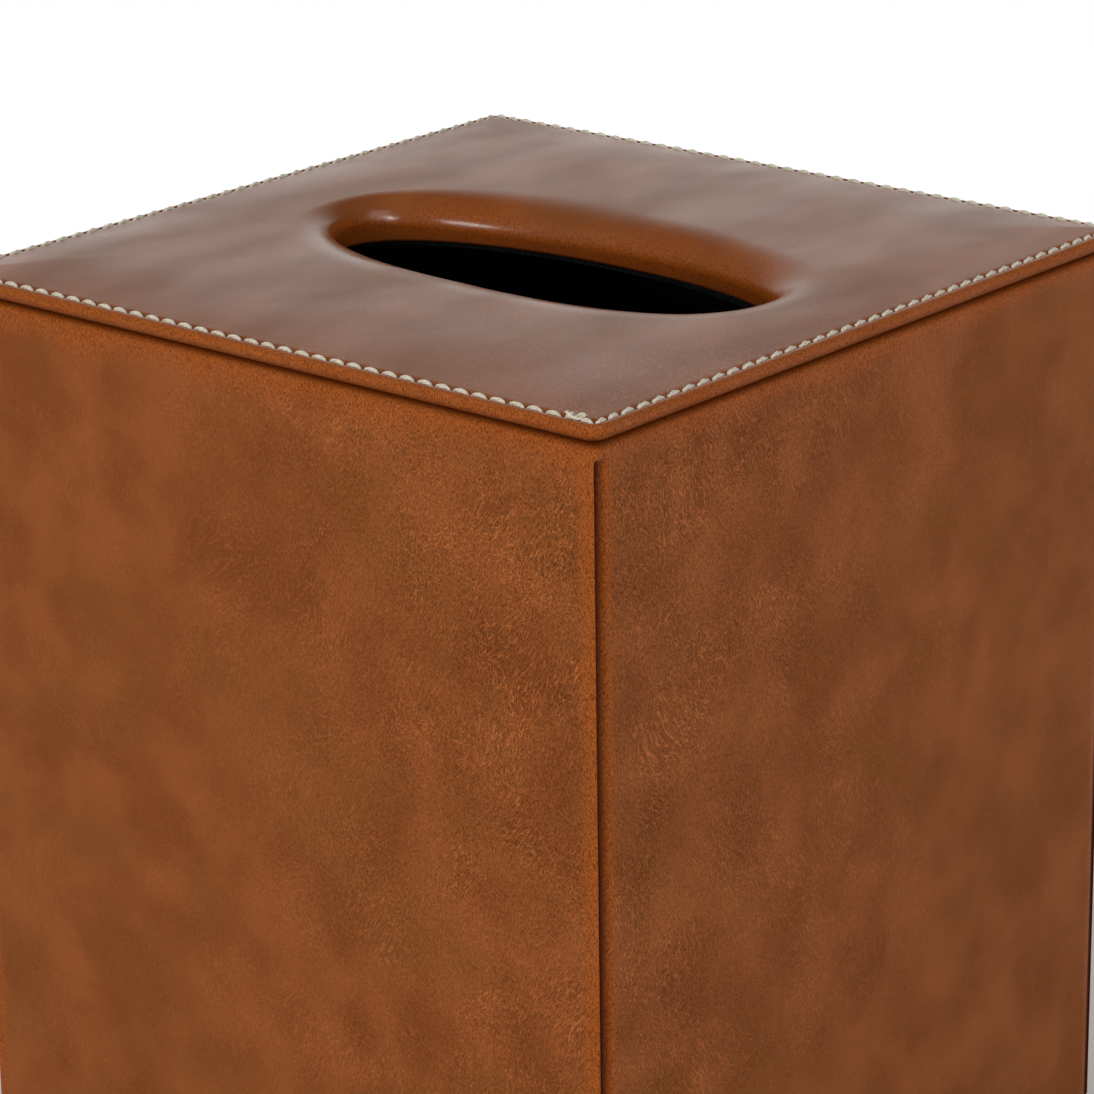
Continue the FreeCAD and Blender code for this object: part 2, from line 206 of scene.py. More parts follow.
# %% Colour of the hide and of its edges
def hide_colour(tree, clouds):
    """Brown that drifts between warm, dim and olive."""
    warm = add_node(tree, "MapRange", SMOOTH,
                    {"Value": clouds[0], "From Min": 0.30, "From Max": 0.70})
    hide = add_node(tree, "Mix", COLOURS,
                    {MIX_SHARE: warm, MIX_FROM: HIDE_DIM, MIX_TO: HIDE_WARM})
    olive = add_node(tree, "MapRange", SMOOTH,
                     {"Value": clouds[1], "From Min": 0.42, "From Max": 0.72, "To Max": 0.6})
    return add_node(tree, "Mix", COLOURS, {MIX_SHARE: olive, MIX_FROM: hide, MIX_TO: HIDE_OLIVE})


def hide_texture(tree, place, lines, grain, clouds, grain_share):
    """Grain everywhere and wrinkles in clusters, as a factor near 1 for the colour."""
    cluster = add_node(tree, "MapRange", SMOOTH, {"Value": clouds[2], "From Min": 0.42,
                                                  "From Max": 0.60, "To Min": 0.35})
    gathered = add_node(tree, "Math", MULTIPLY, {0: lines, 1: cluster})
    softer = add_node(tree, "Math", MULTIPLY, {0: grain, 1: GRAIN_WEIGHT})
    texture = add_node(tree, "Math", MULTIPLY_ADD, {0: gathered, 1: WRINKLE_WEIGHT, 2: softer})
    flat_place = add_node(tree, "VectorMath", MULTIPLY, {0: place, 1: (1, 1, HEIGHT_WEIGHT)})
    reach = add_node(tree, "VectorMath", {"operation": "DISTANCE"},
                     {0: flat_place, 1: NEAR_CORNER})
    strength = add_node(tree, "MapRange", SMOOTH,
                        {"Value": reach, "From Min": STRONG_MM * MM, "From Max": FAINT_MM * MM,
                         "To Min": grain_share, "To Max": grain_share * FAINT_SHARE})
    return add_node(tree, "Math", MULTIPLY_ADD, {0: texture, 1: strength, 2: 1.0})


def worn_colour(tree, hide, grain, wear, clouds, grain_share):
    """The hide's colour, and clear orange with dark pits where it is stretched over an edge."""
    pit = add_node(tree, "Math", {"operation": "MULTIPLY_ADD", "use_clamp": True},
                   {0: grain, 1: min(0.5, grain_share), 2: PIT_LEVEL})
    stretched = add_node(tree, "Mix", COLOURS,
                         {MIX_SHARE: pit, MIX_FROM: HIDE_STRETCHED_PIT, MIX_TO: HIDE_STRETCHED})
    ragged = add_node(tree, "Math", {"operation": "ADD"}, {0: wear, 1: clouds[2]})
    share = add_node(tree, "MapRange", SMOOTH, {"Value": ragged, "From Min": 0.7,
                                                "From Max": 1.45, "To Max": 0.85})
    return add_node(tree, "Mix", COLOURS, {MIX_SHARE: share, MIX_FROM: hide, MIX_TO: stretched})


print("shaded edge in linear light:", [round(c, 3) for c in HIDE_DARK_DYE_AND_SHADE[:3]])


# %% The leather material
def make_leather(name, rough, gleam, grain_share, relief, polish_share=0.06, edge_gleam=0.0,
                 drawn_out=1.0):
    """Waxed leather. gleam is the strength of its shine, grain_share the contrast of its grain,
    and drawn_out lengthens the clouds of its dye along Y."""
    material, tree, shader = new_material(name)
    place = add_node(tree, "TexCoord").outputs["Object"]
    wear = add_node(tree, "Attribute", {"attribute_name": "wear"}).outputs["Fac"]
    painted_shade_and_dye = add_node(tree, "Attribute", {"attribute_name": "painted_shade_and_dye"}).outputs["Fac"]
    bent = bent_place(tree, place)
    grain = fine_grain(tree, place)
    clouds = dye_clouds(tree, bent, drawn_out)
    tone = hide_texture(tree, place, wrinkle_lines(tree, bent), grain, clouds, grain_share)
    grained = add_node(tree, "VectorMath", {"operation": "SCALE"},
                       {0: hide_colour(tree, clouds), "Scale": tone})
    worn = worn_colour(tree, grained, grain, wear, clouds, grain_share)
    # Painted shade: the colour turns near black where the mesh's shade number is high, which also covers
    # the dark dye of the corner grooves.
    colour = add_node(tree, "Mix", COLOURS,
                      {MIX_SHARE: painted_shade_and_dye, MIX_FROM: worn, MIX_TO: HIDE_DARK_DYE_AND_SHADE})
    bump = add_node(tree, "Bump", inputs={"Strength": relief, "Distance": RELIEF_MM * MM,
                                          "Height": tone})

    # The polish and the shine of the wax change with the clouds, and rise at worn edges.
    polish = add_node(tree, "MapRange", inputs={"Value": clouds[1],
                                                "From Min": 0.3, "From Max": 0.7,
                                                "To Min": rough - polish_share,
                                                "To Max": rough + polish_share})
    handled = add_node(tree, "Math", MULTIPLY_ADD, {0: wear, 1: -rough * EDGE_POLISH, 2: polish})
    waxed = add_node(tree, "MapRange", inputs={"Value": clouds[0],
                                               "From Min": 0.32, "From Max": 0.68,
                                               "To Min": 0.7 * gleam, "To Max": 1.3 * gleam})
    rubbed = add_node(tree, "Math", MULTIPLY_ADD, {0: wear, 1: edge_gleam, 2: waxed})
    fine_wax = add_node(tree, "Math", MULTIPLY, {0: rubbed, 1: tone})
    # In the painted shade the wax's shine fades out as well.
    shine = add_node(tree, "MapRange", inputs={"Value": painted_shade_and_dye, "To Min": fine_wax,
                                               "To Max": 0.02})
    shader.inputs["Specular IOR Level"].default_value = gleam   # where the link is not kept
    fill_inputs(tree, shader, {"Base Color": colour, "Roughness": handled, "Normal": bump,
                               "Specular IOR Level": shine, "IOR": 1.46})
    return material


leather_of_walls = make_leather("waxed_leather_walls", rough=0.52, gleam=0.10, grain_share=0.60,
                                relief=0.30)
leather_of_lid = make_leather("waxed_leather_lid", rough=0.27, gleam=0.20, grain_share=0.42,
                              relief=0.08, polish_share=0.09, edge_gleam=0.45,
                              drawn_out=2.4)
print("leathers:", leather_of_walls.name, leather_of_lid.name)

# %% [markdown]
# ## Thread, linings, boards and brass
#
# The seam is a thick off-white cotton thread of three plies. The plies are modelled, so the
# material only adds soft fibre noise. The inside is lined with black cloth, a plain weave whose
# threads are drawn 0.5 mm wide, coarser than real ones, so that they show from near by. The boards
# are fibreboard and greyboard: speckled, dry and dull. The post and the screw of the pull tab are
# turned brass, and a slow noise keeps their colour uneven.

# %% Two kinds of small finish
THREAD_MM = 0.5
WAVE_SCALE = 6.28                                   # makes one wave as wide as two threads
WEAVE_TILT = (0.6155, 0.7854, 0.0)                  # so that no wall lies along the waves


def make_speckled(name, light, dark, grain_mm, rough, relief=0.3, **sockets):
    """A dull finish of two close colours, with a grain of the given size."""
    material, tree, shader = new_material(name)
    place = add_node(tree, "TexCoord").outputs["Object"]
    grain = add_node(tree, "TexNoise", inputs={"Vector": place, "Detail": 4.0,
                                               "Scale": per_metre(grain_mm), "Roughness": 0.65})
    share = add_node(tree, "MapRange", inputs={"Value": grain, "From Min": 0.35,
                                               "From Max": 0.65})
    colour = add_node(tree, "Mix", COLOURS,
                      {MIX_SHARE: share, MIX_FROM: linear(dark), MIX_TO: linear(light)})
    bump = add_node(tree, "Bump", inputs={"Strength": relief, "Distance": grain_mm * 0.3 * MM,
                                          "Height": grain})
    fill_inputs(tree, shader, {"Base Color": colour, "Normal": bump, "Roughness": rough})
    fill_inputs(tree, shader, {key.replace("_", " "): value for key, value in sockets.items()})
    return material


def make_cloth(name, light, dark, thread_mm):
    """A plain weave: two crossed sets of waves."""
    material, tree, shader = new_material(name)
    place = add_node(tree, "TexCoord").outputs["Object"]
    turned = add_node(tree, "Mapping", inputs={"Vector": place, "Rotation": WEAVE_TILT})
    across, along = [add_node(tree, "TexWave", {"wave_type": "BANDS", "bands_direction": way},
                              {"Vector": turned, "Scale": per_metre(thread_mm) / WAVE_SCALE,
                               "Distortion": 0.6, "Detail": 1.0}).outputs["Fac"]
                     for way in ("X", "Y")]
    weave = add_node(tree, "Math", MULTIPLY, {0: across, 1: along})
    colour = add_node(tree, "Mix", COLOURS,
                      {MIX_SHARE: weave, MIX_FROM: linear(dark), MIX_TO: linear(light)})
    bump = add_node(tree, "Bump", inputs={"Strength": 0.3, "Distance": 0.15 * MM,
                                          "Height": weave})
    fill_inputs(tree, shader, {"Base Color": colour, "Normal": bump, "Roughness": 0.9,
                               "Specular IOR Level": 0.12})
    return material


print("thread of the cloth in mm:", THREAD_MM)

# %% The small finishes
cotton_thread = make_speckled("cotton_thread", "E9E2D2", "B4A992", 0.22, 0.85,
                              Sheen_Weight=0.25, Sheen_Roughness=0.5)
black_lining = make_cloth("black_lining_cloth", "101513", "050706", THREAD_MM)
base_felt = make_speckled("black_base_felt", "232325", "101011", 0.8, 0.95, relief=0.6)
fibreboard = make_speckled("bare_fibreboard", "8C6A48", "6B4E33", 0.7, 0.8)
paper_board = make_speckled("board_in_black_paper", "1C1B1B", "121111", 0.5, 0.62)
greyboard = make_speckled("greyboard", "8E8A82", "6F6B64", 0.6, 0.85)
lid_padding = make_speckled("lid_padding_foam", "DCD6C6", "BDB6A4", 0.5, 0.9, relief=0.6)
glide_tape = make_speckled("slippery_glide_tape", "DADADA", "CFCFD0", 2.0, 0.30, relief=0.05)
turned_brass = make_speckled("turned_brass", "D0A658", "B88A3E", 3.0, 0.24, relief=0.04,
                             Metallic=1.0)
# The floor of the corner grooves: a glue-darkened board edge, made darker still as painted shade in the
# narrow slit.
slit_shadow = make_speckled("glue_dark_edge_and_painted_slit_shade", "3A1608", "1E0B04", 0.6, 0.9,
                            Specular_IOR_Level=0.05)
cut_leather = make_speckled("raw_cut_leather", "A97C58", "8A5F40", 0.25, 0.85)
# Flat dark discs in the needle holes, as painted shade.
painted_hole_shade_finish = make_speckled("needle_hole_shade", "1C0F08", "0C0604", 0.4, 0.95,
                            Specular_IOR_Level=0.05)
print("materials in the file:", len(bpy.data.materials))

# %% [markdown]
# ## Finish the pieces that keep their shape
#
# The boards, linings, felt, glide strips and brass parts are simple shapes that the frame already
# has right. Each only gets its material.

# %% Materials on the kept pieces
kept_finishes = {
    "base_board": fibreboard, "left_wall_board": fibreboard, "right_wall_board": fibreboard,
    "back_wall_board": fibreboard, "front_wall_board": fibreboard, "shelf_board": fibreboard,
    "base_cover": base_felt, "wall_lining": black_lining, "shelf_lining": black_lining,
    "drawer_glides": glide_tape, "drawer_bumpers": base_felt, "lid_board": greyboard,
    "lid_foam": lid_padding, "lid_plug_board": fibreboard, "lid_plug_lining": black_lining,
    "drawer_front_board": fibreboard, "drawer_left_side": paper_board,
    "drawer_right_side": paper_board, "drawer_back": paper_board, "drawer_bottom": paper_board,
    "drawer_bottom_lining": black_lining, "drawer_wall_lining": black_lining,
    "pull_post": turned_brass, "pull_screw": turned_brass,
}
for node_name, finish in kept_finishes.items():
    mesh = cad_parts[node_name].data
    mesh.materials.clear()
    mesh.materials.append(finish)
print("finished pieces:", len(kept_finishes))

# %% [markdown]
# ## Sizes of the soft pieces
#
# These follow the solid pieces they stand for, read from the frame where it has them.

# %% Sizes shared by the soft pieces
body_low, body_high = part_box("left_skin")
lid_low, lid_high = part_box("lid_leather")
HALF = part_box("front_skin")[0].y / -MM              # outer face of the walls
LID_HALF = lid_high.x / MM
SEAT_Z = body_high.z / MM                           # the lid rests here
SKIN_LOW_Z = body_low.z / MM
FLOOR_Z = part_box("base_board")[1].z / MM
RIM_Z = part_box("lid_stitching")[0].z / MM           # flat rim of the lid
PAD_Z = lid_high.z / MM
BOARD_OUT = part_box("base_board")[1].x / MM
BOARD_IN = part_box("back_wall_board")[1].x / MM
SKIN = HALF - BOARD_OUT
SHELF_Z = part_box("shelf_board")[0].z / MM
print("walls %.1f, lid %.1f, seat %.1f, rim %.1f, pad %.1f mm"
      % (2 * HALF, 2 * LID_HALF, SEAT_Z, RIM_Z, PAD_Z))

# %% [markdown]
# ## Building a skin from rows of points
#
# Every soft piece here is a skin stretched over rows of points, so one helper gathers points and
# faces, in millimetres, and turns them into an object. It also keeps the two numbers that the
# leather reads: wear, for stretched edges, and a number for painted shade, which darkens shaded
# edges and the dark-dyed corner grooves.

# %% Helpers for rows of values
def smooth_step(low, high, value):
    """0 up to low, 1 from high on, and a smooth rise between them."""
    t = min(1.0, max(0.0, (value - low) / (high - low)))
    return t * t * (3 - 2 * t)


def spread(start, end, step):
    """Evenly spaced values from start to end, about a step apart."""
    count = max(1, round(abs(end - start) / step))
    return [start + (end - start) * i / count for i in range(count + 1)]


def merged(*runs):
    """Several runs of values as one sorted list, with near repeats dropped."""
    values = []
    for value in sorted(v for run in runs for v in run):
        if not values or value - values[-1] > 0.02:
            values.append(value)
    return values


def in_radians(degrees):
    return [math.radians(angle) for angle in degrees]


print("four steps from 0 to 1:", spread(0, 1, 0.25))


# %% A skin in the making
def face_outwards(piece):
    work = bmesh.new()
    work.from_mesh(piece.data)
    bmesh.ops.recalc_face_normals(work, faces=work.faces)
    work.to_mesh(piece.data)
    work.free()


class Skin:
    """A surface in the making: its points, how worn each is and how much painted shade it has, and its
    faces.
    """

    def __init__(self):
        self.points, self.wear, self.painted_shade_and_dye = [], [], []
        self.faces, self.slots = [], []

    def add_row(self, spots, wear=0.0, painted_shade_and_dye=0.0):
        """Adds points and gives back their numbers. Wear and painted shade are one value, or a list."""
        first = len(self.points)
        self.points.extend(spots)
        count = len(self.points) - first
        self.wear.extend(wear if isinstance(wear, list) else [wear] * count)
        self.painted_shade_and_dye.extend(painted_shade_and_dye if isinstance(painted_shade_and_dye, list) else [painted_shade_and_dye] * count)
        return list(range(first, first + count))

    def add_face(self, corners, slot=0):
        self.faces.append(tuple(corners))
        self.slots.append(slot)

    def join(self, low, high, closed=False, slot=0):
        """Adds the faces between two rows of equally many points."""
        for i in range(len(low) if closed else len(low) - 1):
            after = (i + 1) % len(low)
            self.add_face((low[i], low[after], high[after], high[i]), slot)

    def make(self, name, *materials):
        mesh = bpy.data.meshes.new(name)
        mesh.from_pydata([(x * MM, y * MM, z * MM) for x, y, z in self.points], [], self.faces)
        for material in materials:
            mesh.materials.append(material)
        for label, values in (("wear", self.wear), ("painted_shade_and_dye", self.painted_shade_and_dye)):
            if any(values):
                mesh.attributes.new(label, "FLOAT", "POINT").data.foreach_set("value", values)
        mesh.polygons.foreach_set("material_index", self.slots)
        mesh.polygons.foreach_set("use_smooth", [True] * len(mesh.polygons))
        mesh.validate()
        piece = bpy.data.objects.new(name, mesh)
        bpy.context.scene.collection.objects.link(piece)
        return piece


print("skin helper ready")

# %% [markdown]
# ## The leather jacket of the walls
#
# On the real box four skins are glued round the boards: one on the front, one on the back and one
# on each side. At every upright corner two of them meet in a narrow open groove, which is closed
# again just under the lid, where the hide is stretched over the corner and rolled over the wall's
# top. They could be four sheets, but the closed part runs on without a seam, so one mesh makes all
# four. It is a grid of columns round the box and rows up it. Where the groove is open, the columns
# near a corner follow one outline, and where it is closed, another.

# %% Outline of a corner, open and closed
# Each pair is the distance from the corner along the end wall and along the side wall, in mm.
CORNER_ROUND = 1.0
CLOSED = [(a, 0) for a in (2.6, 1.9, 1.4, CORNER_ROUND)]
CLOSED += [(CORNER_ROUND * (1 - math.sin(t)), CORNER_ROUND * (1 - math.cos(t)))
           for t in in_radians((15, 30, 45, 60, 75))]
CLOSED += [(0, b) for b in (CORNER_ROUND, 1.3, 1.6, 1.8, 2.0, 2.2, 2.4, 2.6, 2.85, 3.2, 3.8)]
OPEN = [(2.6, 0), (1.9, 0), (1.45, 0), (1.15, 0.02), (0.94, 0.06), (0.78, 0.14), (0.68, 0.24),
        (0.64, 0.34), (0.66, 0.43), (0.72, 0.48), (0.77, 0.54), (0.775, 0.78), (0.74, 1.06),
        (0.64, 1.36), (0.50, 1.66), (0.35, 1.98), (0.20, 2.32), (0.09, 2.66), (0.02, 3.05),
        (0, 3.8)]
# Painted shade for each point of OPEN, strongest on the groove's floor, where the hide is also dyed dark.
GROOVE_SHADE_AND_DYE = [0, 0, 0, 0, 0, 0, 0, 0.1, 0.5, 0.9, 1, 0.95, 0.85, 0.7, 0.52, 0.34, 0.18, 0.06, 0, 0]
GROOVE_FLOOR = (9, 11)                              # points of the dark floor of the groove
WANDERING = (9, 17)                                 # points of the edge that isn't quite straight
WANDER = 0.10
SLIT_TOP = SEAT_Z - 2.7
SLIT_END = 0.7                                      # length of the rounded end of a slit


def slit_openness(z):
    below = SLIT_TOP - z
    if below <= 0:
        return 0.0
    return 1.0 if below >= SLIT_END else math.sqrt(1 - (1 - below / SLIT_END) ** 2)


print("slit from z %.1f to %.1f mm, %d points round each corner"
      % (SKIN_LOW_Z, SLIT_TOP, len(OPEN)))

# %% Columns of the jacket
LIP_ROUND = 0.6                                     # the hide rolls into the drawer opening
WINDOW_HALF = BOARD_IN - SKIN + LIP_ROUND           # drawer opening, at the start of that roll
EDGE_STEPS = [4.3, 5.0, 6.2, 8.0, 11.0]             # closer columns near a corner
CORNER_REACH = 3.9                                  # the columns of a corner end here


def face_columns(marks):
    """Positions along a wall between its corners, symmetric, with extra marks."""
    inner = merged([HALF - s for s in EDGE_STEPS], spread(0.0, HALF - 16.0, 7.0), marks)
    inner = [v for v in inner if v < HALF - CORNER_REACH]
    return sorted([-v for v in inner if v > 0.01] + inner)


columns = []                                        # (kind, sx, sy, value)
for sx, sy, wall, marks in ((1, 1, "end", []), (-1, 1, "side", []),
                            (-1, -1, "end", [WINDOW_HALF]), (1, -1, "side", [])):
    corner = range(len(OPEN))
    columns += [("corner", sx, sy, i) for i in (corner[::-1] if wall == "end" else corner)]
    forward = (sy < 0) if wall == "end" else (sx > 0)
    columns += [(wall, sx, sy, v) for v in face_columns(marks)[::1 if forward else -1]]
print("columns round the box:", len(columns))

# %% Rows of the jacket
WINDOW_LOW = FLOOR_Z - 0.4                          # the sill is turned in just under the floor
WINDOW_HIGH = SHELF_Z - SKIN + LIP_ROUND
TOP_ROLL = 1.9
rows = [(1.2, SKIN_LOW_Z), (0.5, SKIN_LOW_Z + 0.04), (0.15, SKIN_LOW_Z + 0.25)]   # (inset, z)
rows += [(0.0, z) for z in merged(
    [SKIN_LOW_Z + 0.7, WINDOW_LOW, WINDOW_HIGH],
    spread(WINDOW_LOW + 3.4, WINDOW_HIGH - 2.6, 6.0),
    spread(WINDOW_HIGH + 4.4, SLIT_TOP - 7, 5.5), spread(SLIT_TOP - 4, SLIT_TOP - 1, 1.0),
    [SLIT_TOP - s for s in (0.8, 0.7, 0.55, 0.4, 0.25, 0.12, 0.04, 0.0, -0.2)])]
rows += [(TOP_ROLL * (1 - math.cos(t)), SEAT_Z - TOP_ROLL * (1 - math.sin(t)))
         for t in in_radians((12, 24, 36, 48, 60, 72, 84, 90))]
rows += [(2.6, SEAT_Z), (4.3, SEAT_Z), (4.7, SEAT_Z - 0.12), (4.8, SEAT_Z - 0.5)]
print("rows up the box:", len(rows))


# %% Place, wear and burnish of a point of the jacket
def jacket_point(column, inset, z):
    kind, sx, sy, value = column
    shrink = 1 - inset / HALF
    if kind == "corner":
        share = slit_openness(z)
        a, b = (c + (o - c) * share for c, o in zip(CLOSED[value], OPEN[value]))
        if WANDERING[0] <= value <= WANDERING[1]:
            b += WANDER * math.sin(z * 0.047 + 2.1 * sx + sy) * share
        return (sx * (HALF - inset - a * shrink), sy * (HALF - inset - b * shrink), z)
    if kind == "end":
        return (value * shrink, sy * (HALF - inset), z)
    return (sx * (HALF - inset), value * shrink, z)


def jacket_wear(column, z):
    """How near a stretched edge a point of the jacket is, from 0 to 1."""
    kind, _, _, value = column
    on_end = kind == "end" or (kind == "corner" and value <= 6)
    from_corner = CLOSED[value][0 if on_end else 1] if kind == "corner" else HALF - abs(value)
    beside = 1 - smooth_step(*((2.0, 4.2) if on_end else (2.4, 4.8)), from_corner)
    depth = 7.5 if kind == "end" or (kind == "corner" and value <= 3) else 5.5
    under_lid = 1.15 - (SEAT_Z - z) / depth
    over_base = 0.8 - (z - SKIN_LOW_Z) / 4.0
    return min(1.0, max(0.0, 0.9 * beside, under_lid, over_base))


def jacket_shade_and_dye(column, z):
    """Painted shade in and beside an open groove, where the hide is also dyed dark, and a painted shadow
    under the lid's overhang.
    """
    groove = GROOVE_SHADE_AND_DYE[column[3]] * slit_openness(z) if column[0] == "corner" else 0.0
    return max(groove, 0.8 * (1 - smooth_step(0.3, 1.4, SEAT_Z - z)))


print("wear at mid height of a wall: %.2f" % jacket_wear(("end", 1, 1, 0.0), HALF))

# %% The grid of the jacket
jacket_skin = Skin()
grid = [jacket_skin.add_row([jacket_point(column, inset, z) for column in columns],
                            [jacket_wear(column, z) for column in columns],
                            [jacket_shade_and_dye(column, z) for column in columns])
        for inset, z in rows]
left_edge, right_edge = [c for c, (kind, _, sy, value) in enumerate(columns)
                         if kind == "end" and sy < 0 and abs(abs(value) - WINDOW_HALF) < 0.01]
low_row, high_row = [next(r for r, row in enumerate(rows) if abs(row[1] - z) < 0.01)
                     for z in (WINDOW_LOW, WINDOW_HIGH)]


def in_groove(column):
    return column[0] == "corner" and GROOVE_FLOOR[0] <= column[3] <= GROOVE_FLOOR[1]


for r, (low, high) in enumerate(zip(grid, grid[1:])):
    for c in range(len(columns)):
        after = (c + 1) % len(columns)
        if low_row <= r < high_row and left_edge <= c < right_edge:
            continue
        # Faces on the floor of an open groove take that dark finish, partly real and partly painted shade.
        dark = (in_groove(columns[c]) and in_groove(columns[after])
                and slit_openness(rows[r][1]) > 0.3)
        jacket_skin.add_face((low[c], low[after], high[after], high[c]), 1 if dark else 0)
print("jacket points:", len(jacket_skin.points))

# %% Leather turned into the drawer opening
LIP_DEPTH = 10.0
upright = range(low_row, high_row)
path = [(grid[r][left_edge], (-1, 0)) for r in upright] + [(grid[high_row][left_edge], (-1, 1))]
path += [(grid[high_row][c], (0, 1)) for c in range(left_edge + 1, right_edge)]
path += [(grid[high_row][right_edge], (1, 1))] + [(grid[r][right_edge], (1, 0))
                                                  for r in upright[::-1]]
lip_rows = [(LIP_ROUND * math.sin(t), LIP_ROUND * (1 - math.cos(t))) for t in in_radians((22, 45, 68, 90))]
lip_rows += [(LIP_ROUND, 2.0), (LIP_ROUND, 5.0), (LIP_ROUND, LIP_DEPTH + SKIN)]
previous = [index for index, _ in path]
for inward, depth in lip_rows:
    spots = []
    for index, (ox, oz) in path:
        x, _, z = jacket_skin.points[index]
        lifted = max(z, WINDOW_LOW + 0.4 * min(1, depth * 2))
        spots.append((x - ox * inward, -HALF + depth, z - oz * inward if oz else lifted))
    current = jacket_skin.add_row(spots, max(0.0, 0.9 - depth / 3.0))
    jacket_skin.join(previous, current)
    previous = current

# The low sill of the opening has only a narrow turned edge.
sill = [grid[low_row][c] for c in range(left_edge, right_edge + 1)]
previous = sill
for rise, depth in ((0.12, 0.02), (0.28, 0.12), (0.36, 0.35), (0.38, 0.8)):
    spots = [jacket_skin.points[index] for index in sill]
    current = jacket_skin.add_row([(x, -HALF + depth, z + rise) for x, _, z in spots], 0.7)
    jacket_skin.join(previous[::-1], current[::-1])
    previous = current

jacket = jacket_skin.make("leather_jacket", leather_of_walls, slit_shadow)
face_outwards(jacket)
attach(jacket, "box")
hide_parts("left_skin", "right_skin", "back_skin", "front_skin")
print("jacket faces:", len(jacket.data.polygons))

# %% [markdown]
# ## The padded lid
#
# The lid is a board with thin foam on it, under one piece of leather that is wrapped round the
# edge, sewn down along it, and rolled softly down into the oval opening. A cloth simulation
# of such tight leather would hardly move it, so the surface is drawn as rings instead: the outer
# rings follow the square edge, the inner ones the oval, and each has its own height. More points
# lie along the seam, where the leather sinks at each needle hole and swells beside each stitch.

# %% Needle holes along one side
SEAM_INSET = 1.4
PITCH = 3.482                                       # of the stitches
FIRST, LAST = 7.05, 8.0                             # where the even stitches begin and end


def seam_marks():
    """Needle holes along one side, from its start corner: short stitches lie at both ends."""
    full = int((2 * LID_HALF - FIRST - LAST) / PITCH)
    marks = [SEAM_INSET, (SEAM_INSET + FIRST) / 2] + [FIRST + PITCH * i for i in range(full + 1)]
    rest = (2 * LID_HALF - SEAM_INSET - marks[-1]) / 3
    return marks + [marks[-1] + rest, marks[-1] + 2 * rest, 2 * LID_HALF - SEAM_INSET]


holes = seam_marks()


def hole_distance(along):
    """Distance to the nearest needle hole, as a share of half a stitch."""
    later = next((i for i, h in enumerate(holes) if h >= along), len(holes) - 1)
    low, high = holes[max(0, later - 1)], holes[later]
    return min(along - low, high - along) / ((high - low) / 2) if high > low else 0.0


print("needle holes along one side:", len(holes))

# %% Rings along the square edge
LID_CORNER = 2.8
SHARPEST_CORNER = 0.4
side_samples = spread(-LID_HALF + LID_CORNER, LID_HALF - LID_CORNER, PITCH / 6)


def square_ring(inset):
    """Points of a rounded square so far inside the lid's outline, counterclockwise."""
    reach = LID_HALF - inset
    corner = max(SHARPEST_CORNER, LID_CORNER - inset)
    side = [(reach, v * (reach - corner) / (LID_HALF - LID_CORNER)) for v in side_samples]
    side += [(reach - corner + corner * math.cos(t), reach - corner + corner * math.sin(t))
             for t in in_radians(range(10, 90, 10))]
    ring = []
    for turn in in_radians((0, 90, 180, 270)):
        cos, sin = math.cos(turn), math.sin(turn)
        ring += [(x * cos - y * sin, x * sin + y * cos) for x, y in side]
    return ring


outline = square_ring(0.0)
angles = [math.atan2(y, x) for x, y in outline]
print("points in one ring:", len(outline))

# %% Outline of the opening and of the roll round it
RIM_WIDE, RIM_DEEP = 43.4, 17.2                     # half sizes of the opening at its throat
OVAL_X, OVAL_Y = -1.7, -0.4                         # middle of the opening
OVAL_POWER, BLUNT_POWER = 2.1, 2.2                  # near an ellipse, blunter at -X, -Y
ROLL_DROP = 5.0                                     # height of the roll into the opening
ROLL_SIDE, ROLL_PLUS_END, ROLL_MINUS_END = 4.8, 2.6, 3.0    # its reach: sides, +X end, -X end
ROLL_SWELL = 2.6                                    # more of it on the near side, towards -X


def outward(angle):
    """Direction straight out from the opening."""
    nx, ny = math.cos(angle) / RIM_WIDE, math.sin(angle) / RIM_DEEP
    size = math.hypot(nx, ny)
    return nx / size, ny / size


def oval_point(angle, grow):
    """A point of the opening's outline, grown outwards by so many mm."""
    cos, sin = math.cos(angle), math.sin(angle)
    power = BLUNT_POWER if cos < 0 and sin < 0 else OVAL_POWER
    x = math.copysign(abs(cos) ** (2 / power), cos) * RIM_WIDE
    y = math.copysign(abs(sin) ** (2 / power), sin) * RIM_DEEP
    nx, ny = outward(angle)
    return OVAL_X + x + grow * nx, OVAL_Y + y + grow * ny


def roll_reach(angle):
    """How far out the roll begins: less at the two ends of the opening than along its sides."""
    plus = smooth_step(-0.6, 0.9, math.cos(angle))
    end = ROLL_MINUS_END + (ROLL_PLUS_END - ROLL_MINUS_END) * plus
    swelling = max(0.0, math.sin(2 * angle - math.pi)) if angle > 0 else 0.0
    side_share = smooth_step(0.2, 1.0, abs(outward(angle)[1]))
    return end + (ROLL_SIDE - end) * side_share + ROLL_SWELL * swelling


print("opening at its throat: %.1f by %.1f mm" % (2 * RIM_WIDE, 2 * RIM_DEEP))

# %% Slope of the pad down to the roll
SHOULDER_NEAR, SHOULDER_FAR = 11.0, 8.0             # the pad slopes down to the roll over this
SHOULDER_PLUS_END, SHOULDER_MINUS_END = 3.0, 8.0    # and over this at the two ends
SHOULDER_SLIM = 2.5                                 # less of it on the far side, towards -X
FAR_TURN, NEAR_PLUS_TURN, NEAR_MINUS_TURN = 70, 75, 40      # degrees from an end to full width
CREST_Z = RIM_Z - 1.05                              # where the slope turns into the roll
PAD_RISE = 0.45                                     # the middle of the pad over its margin


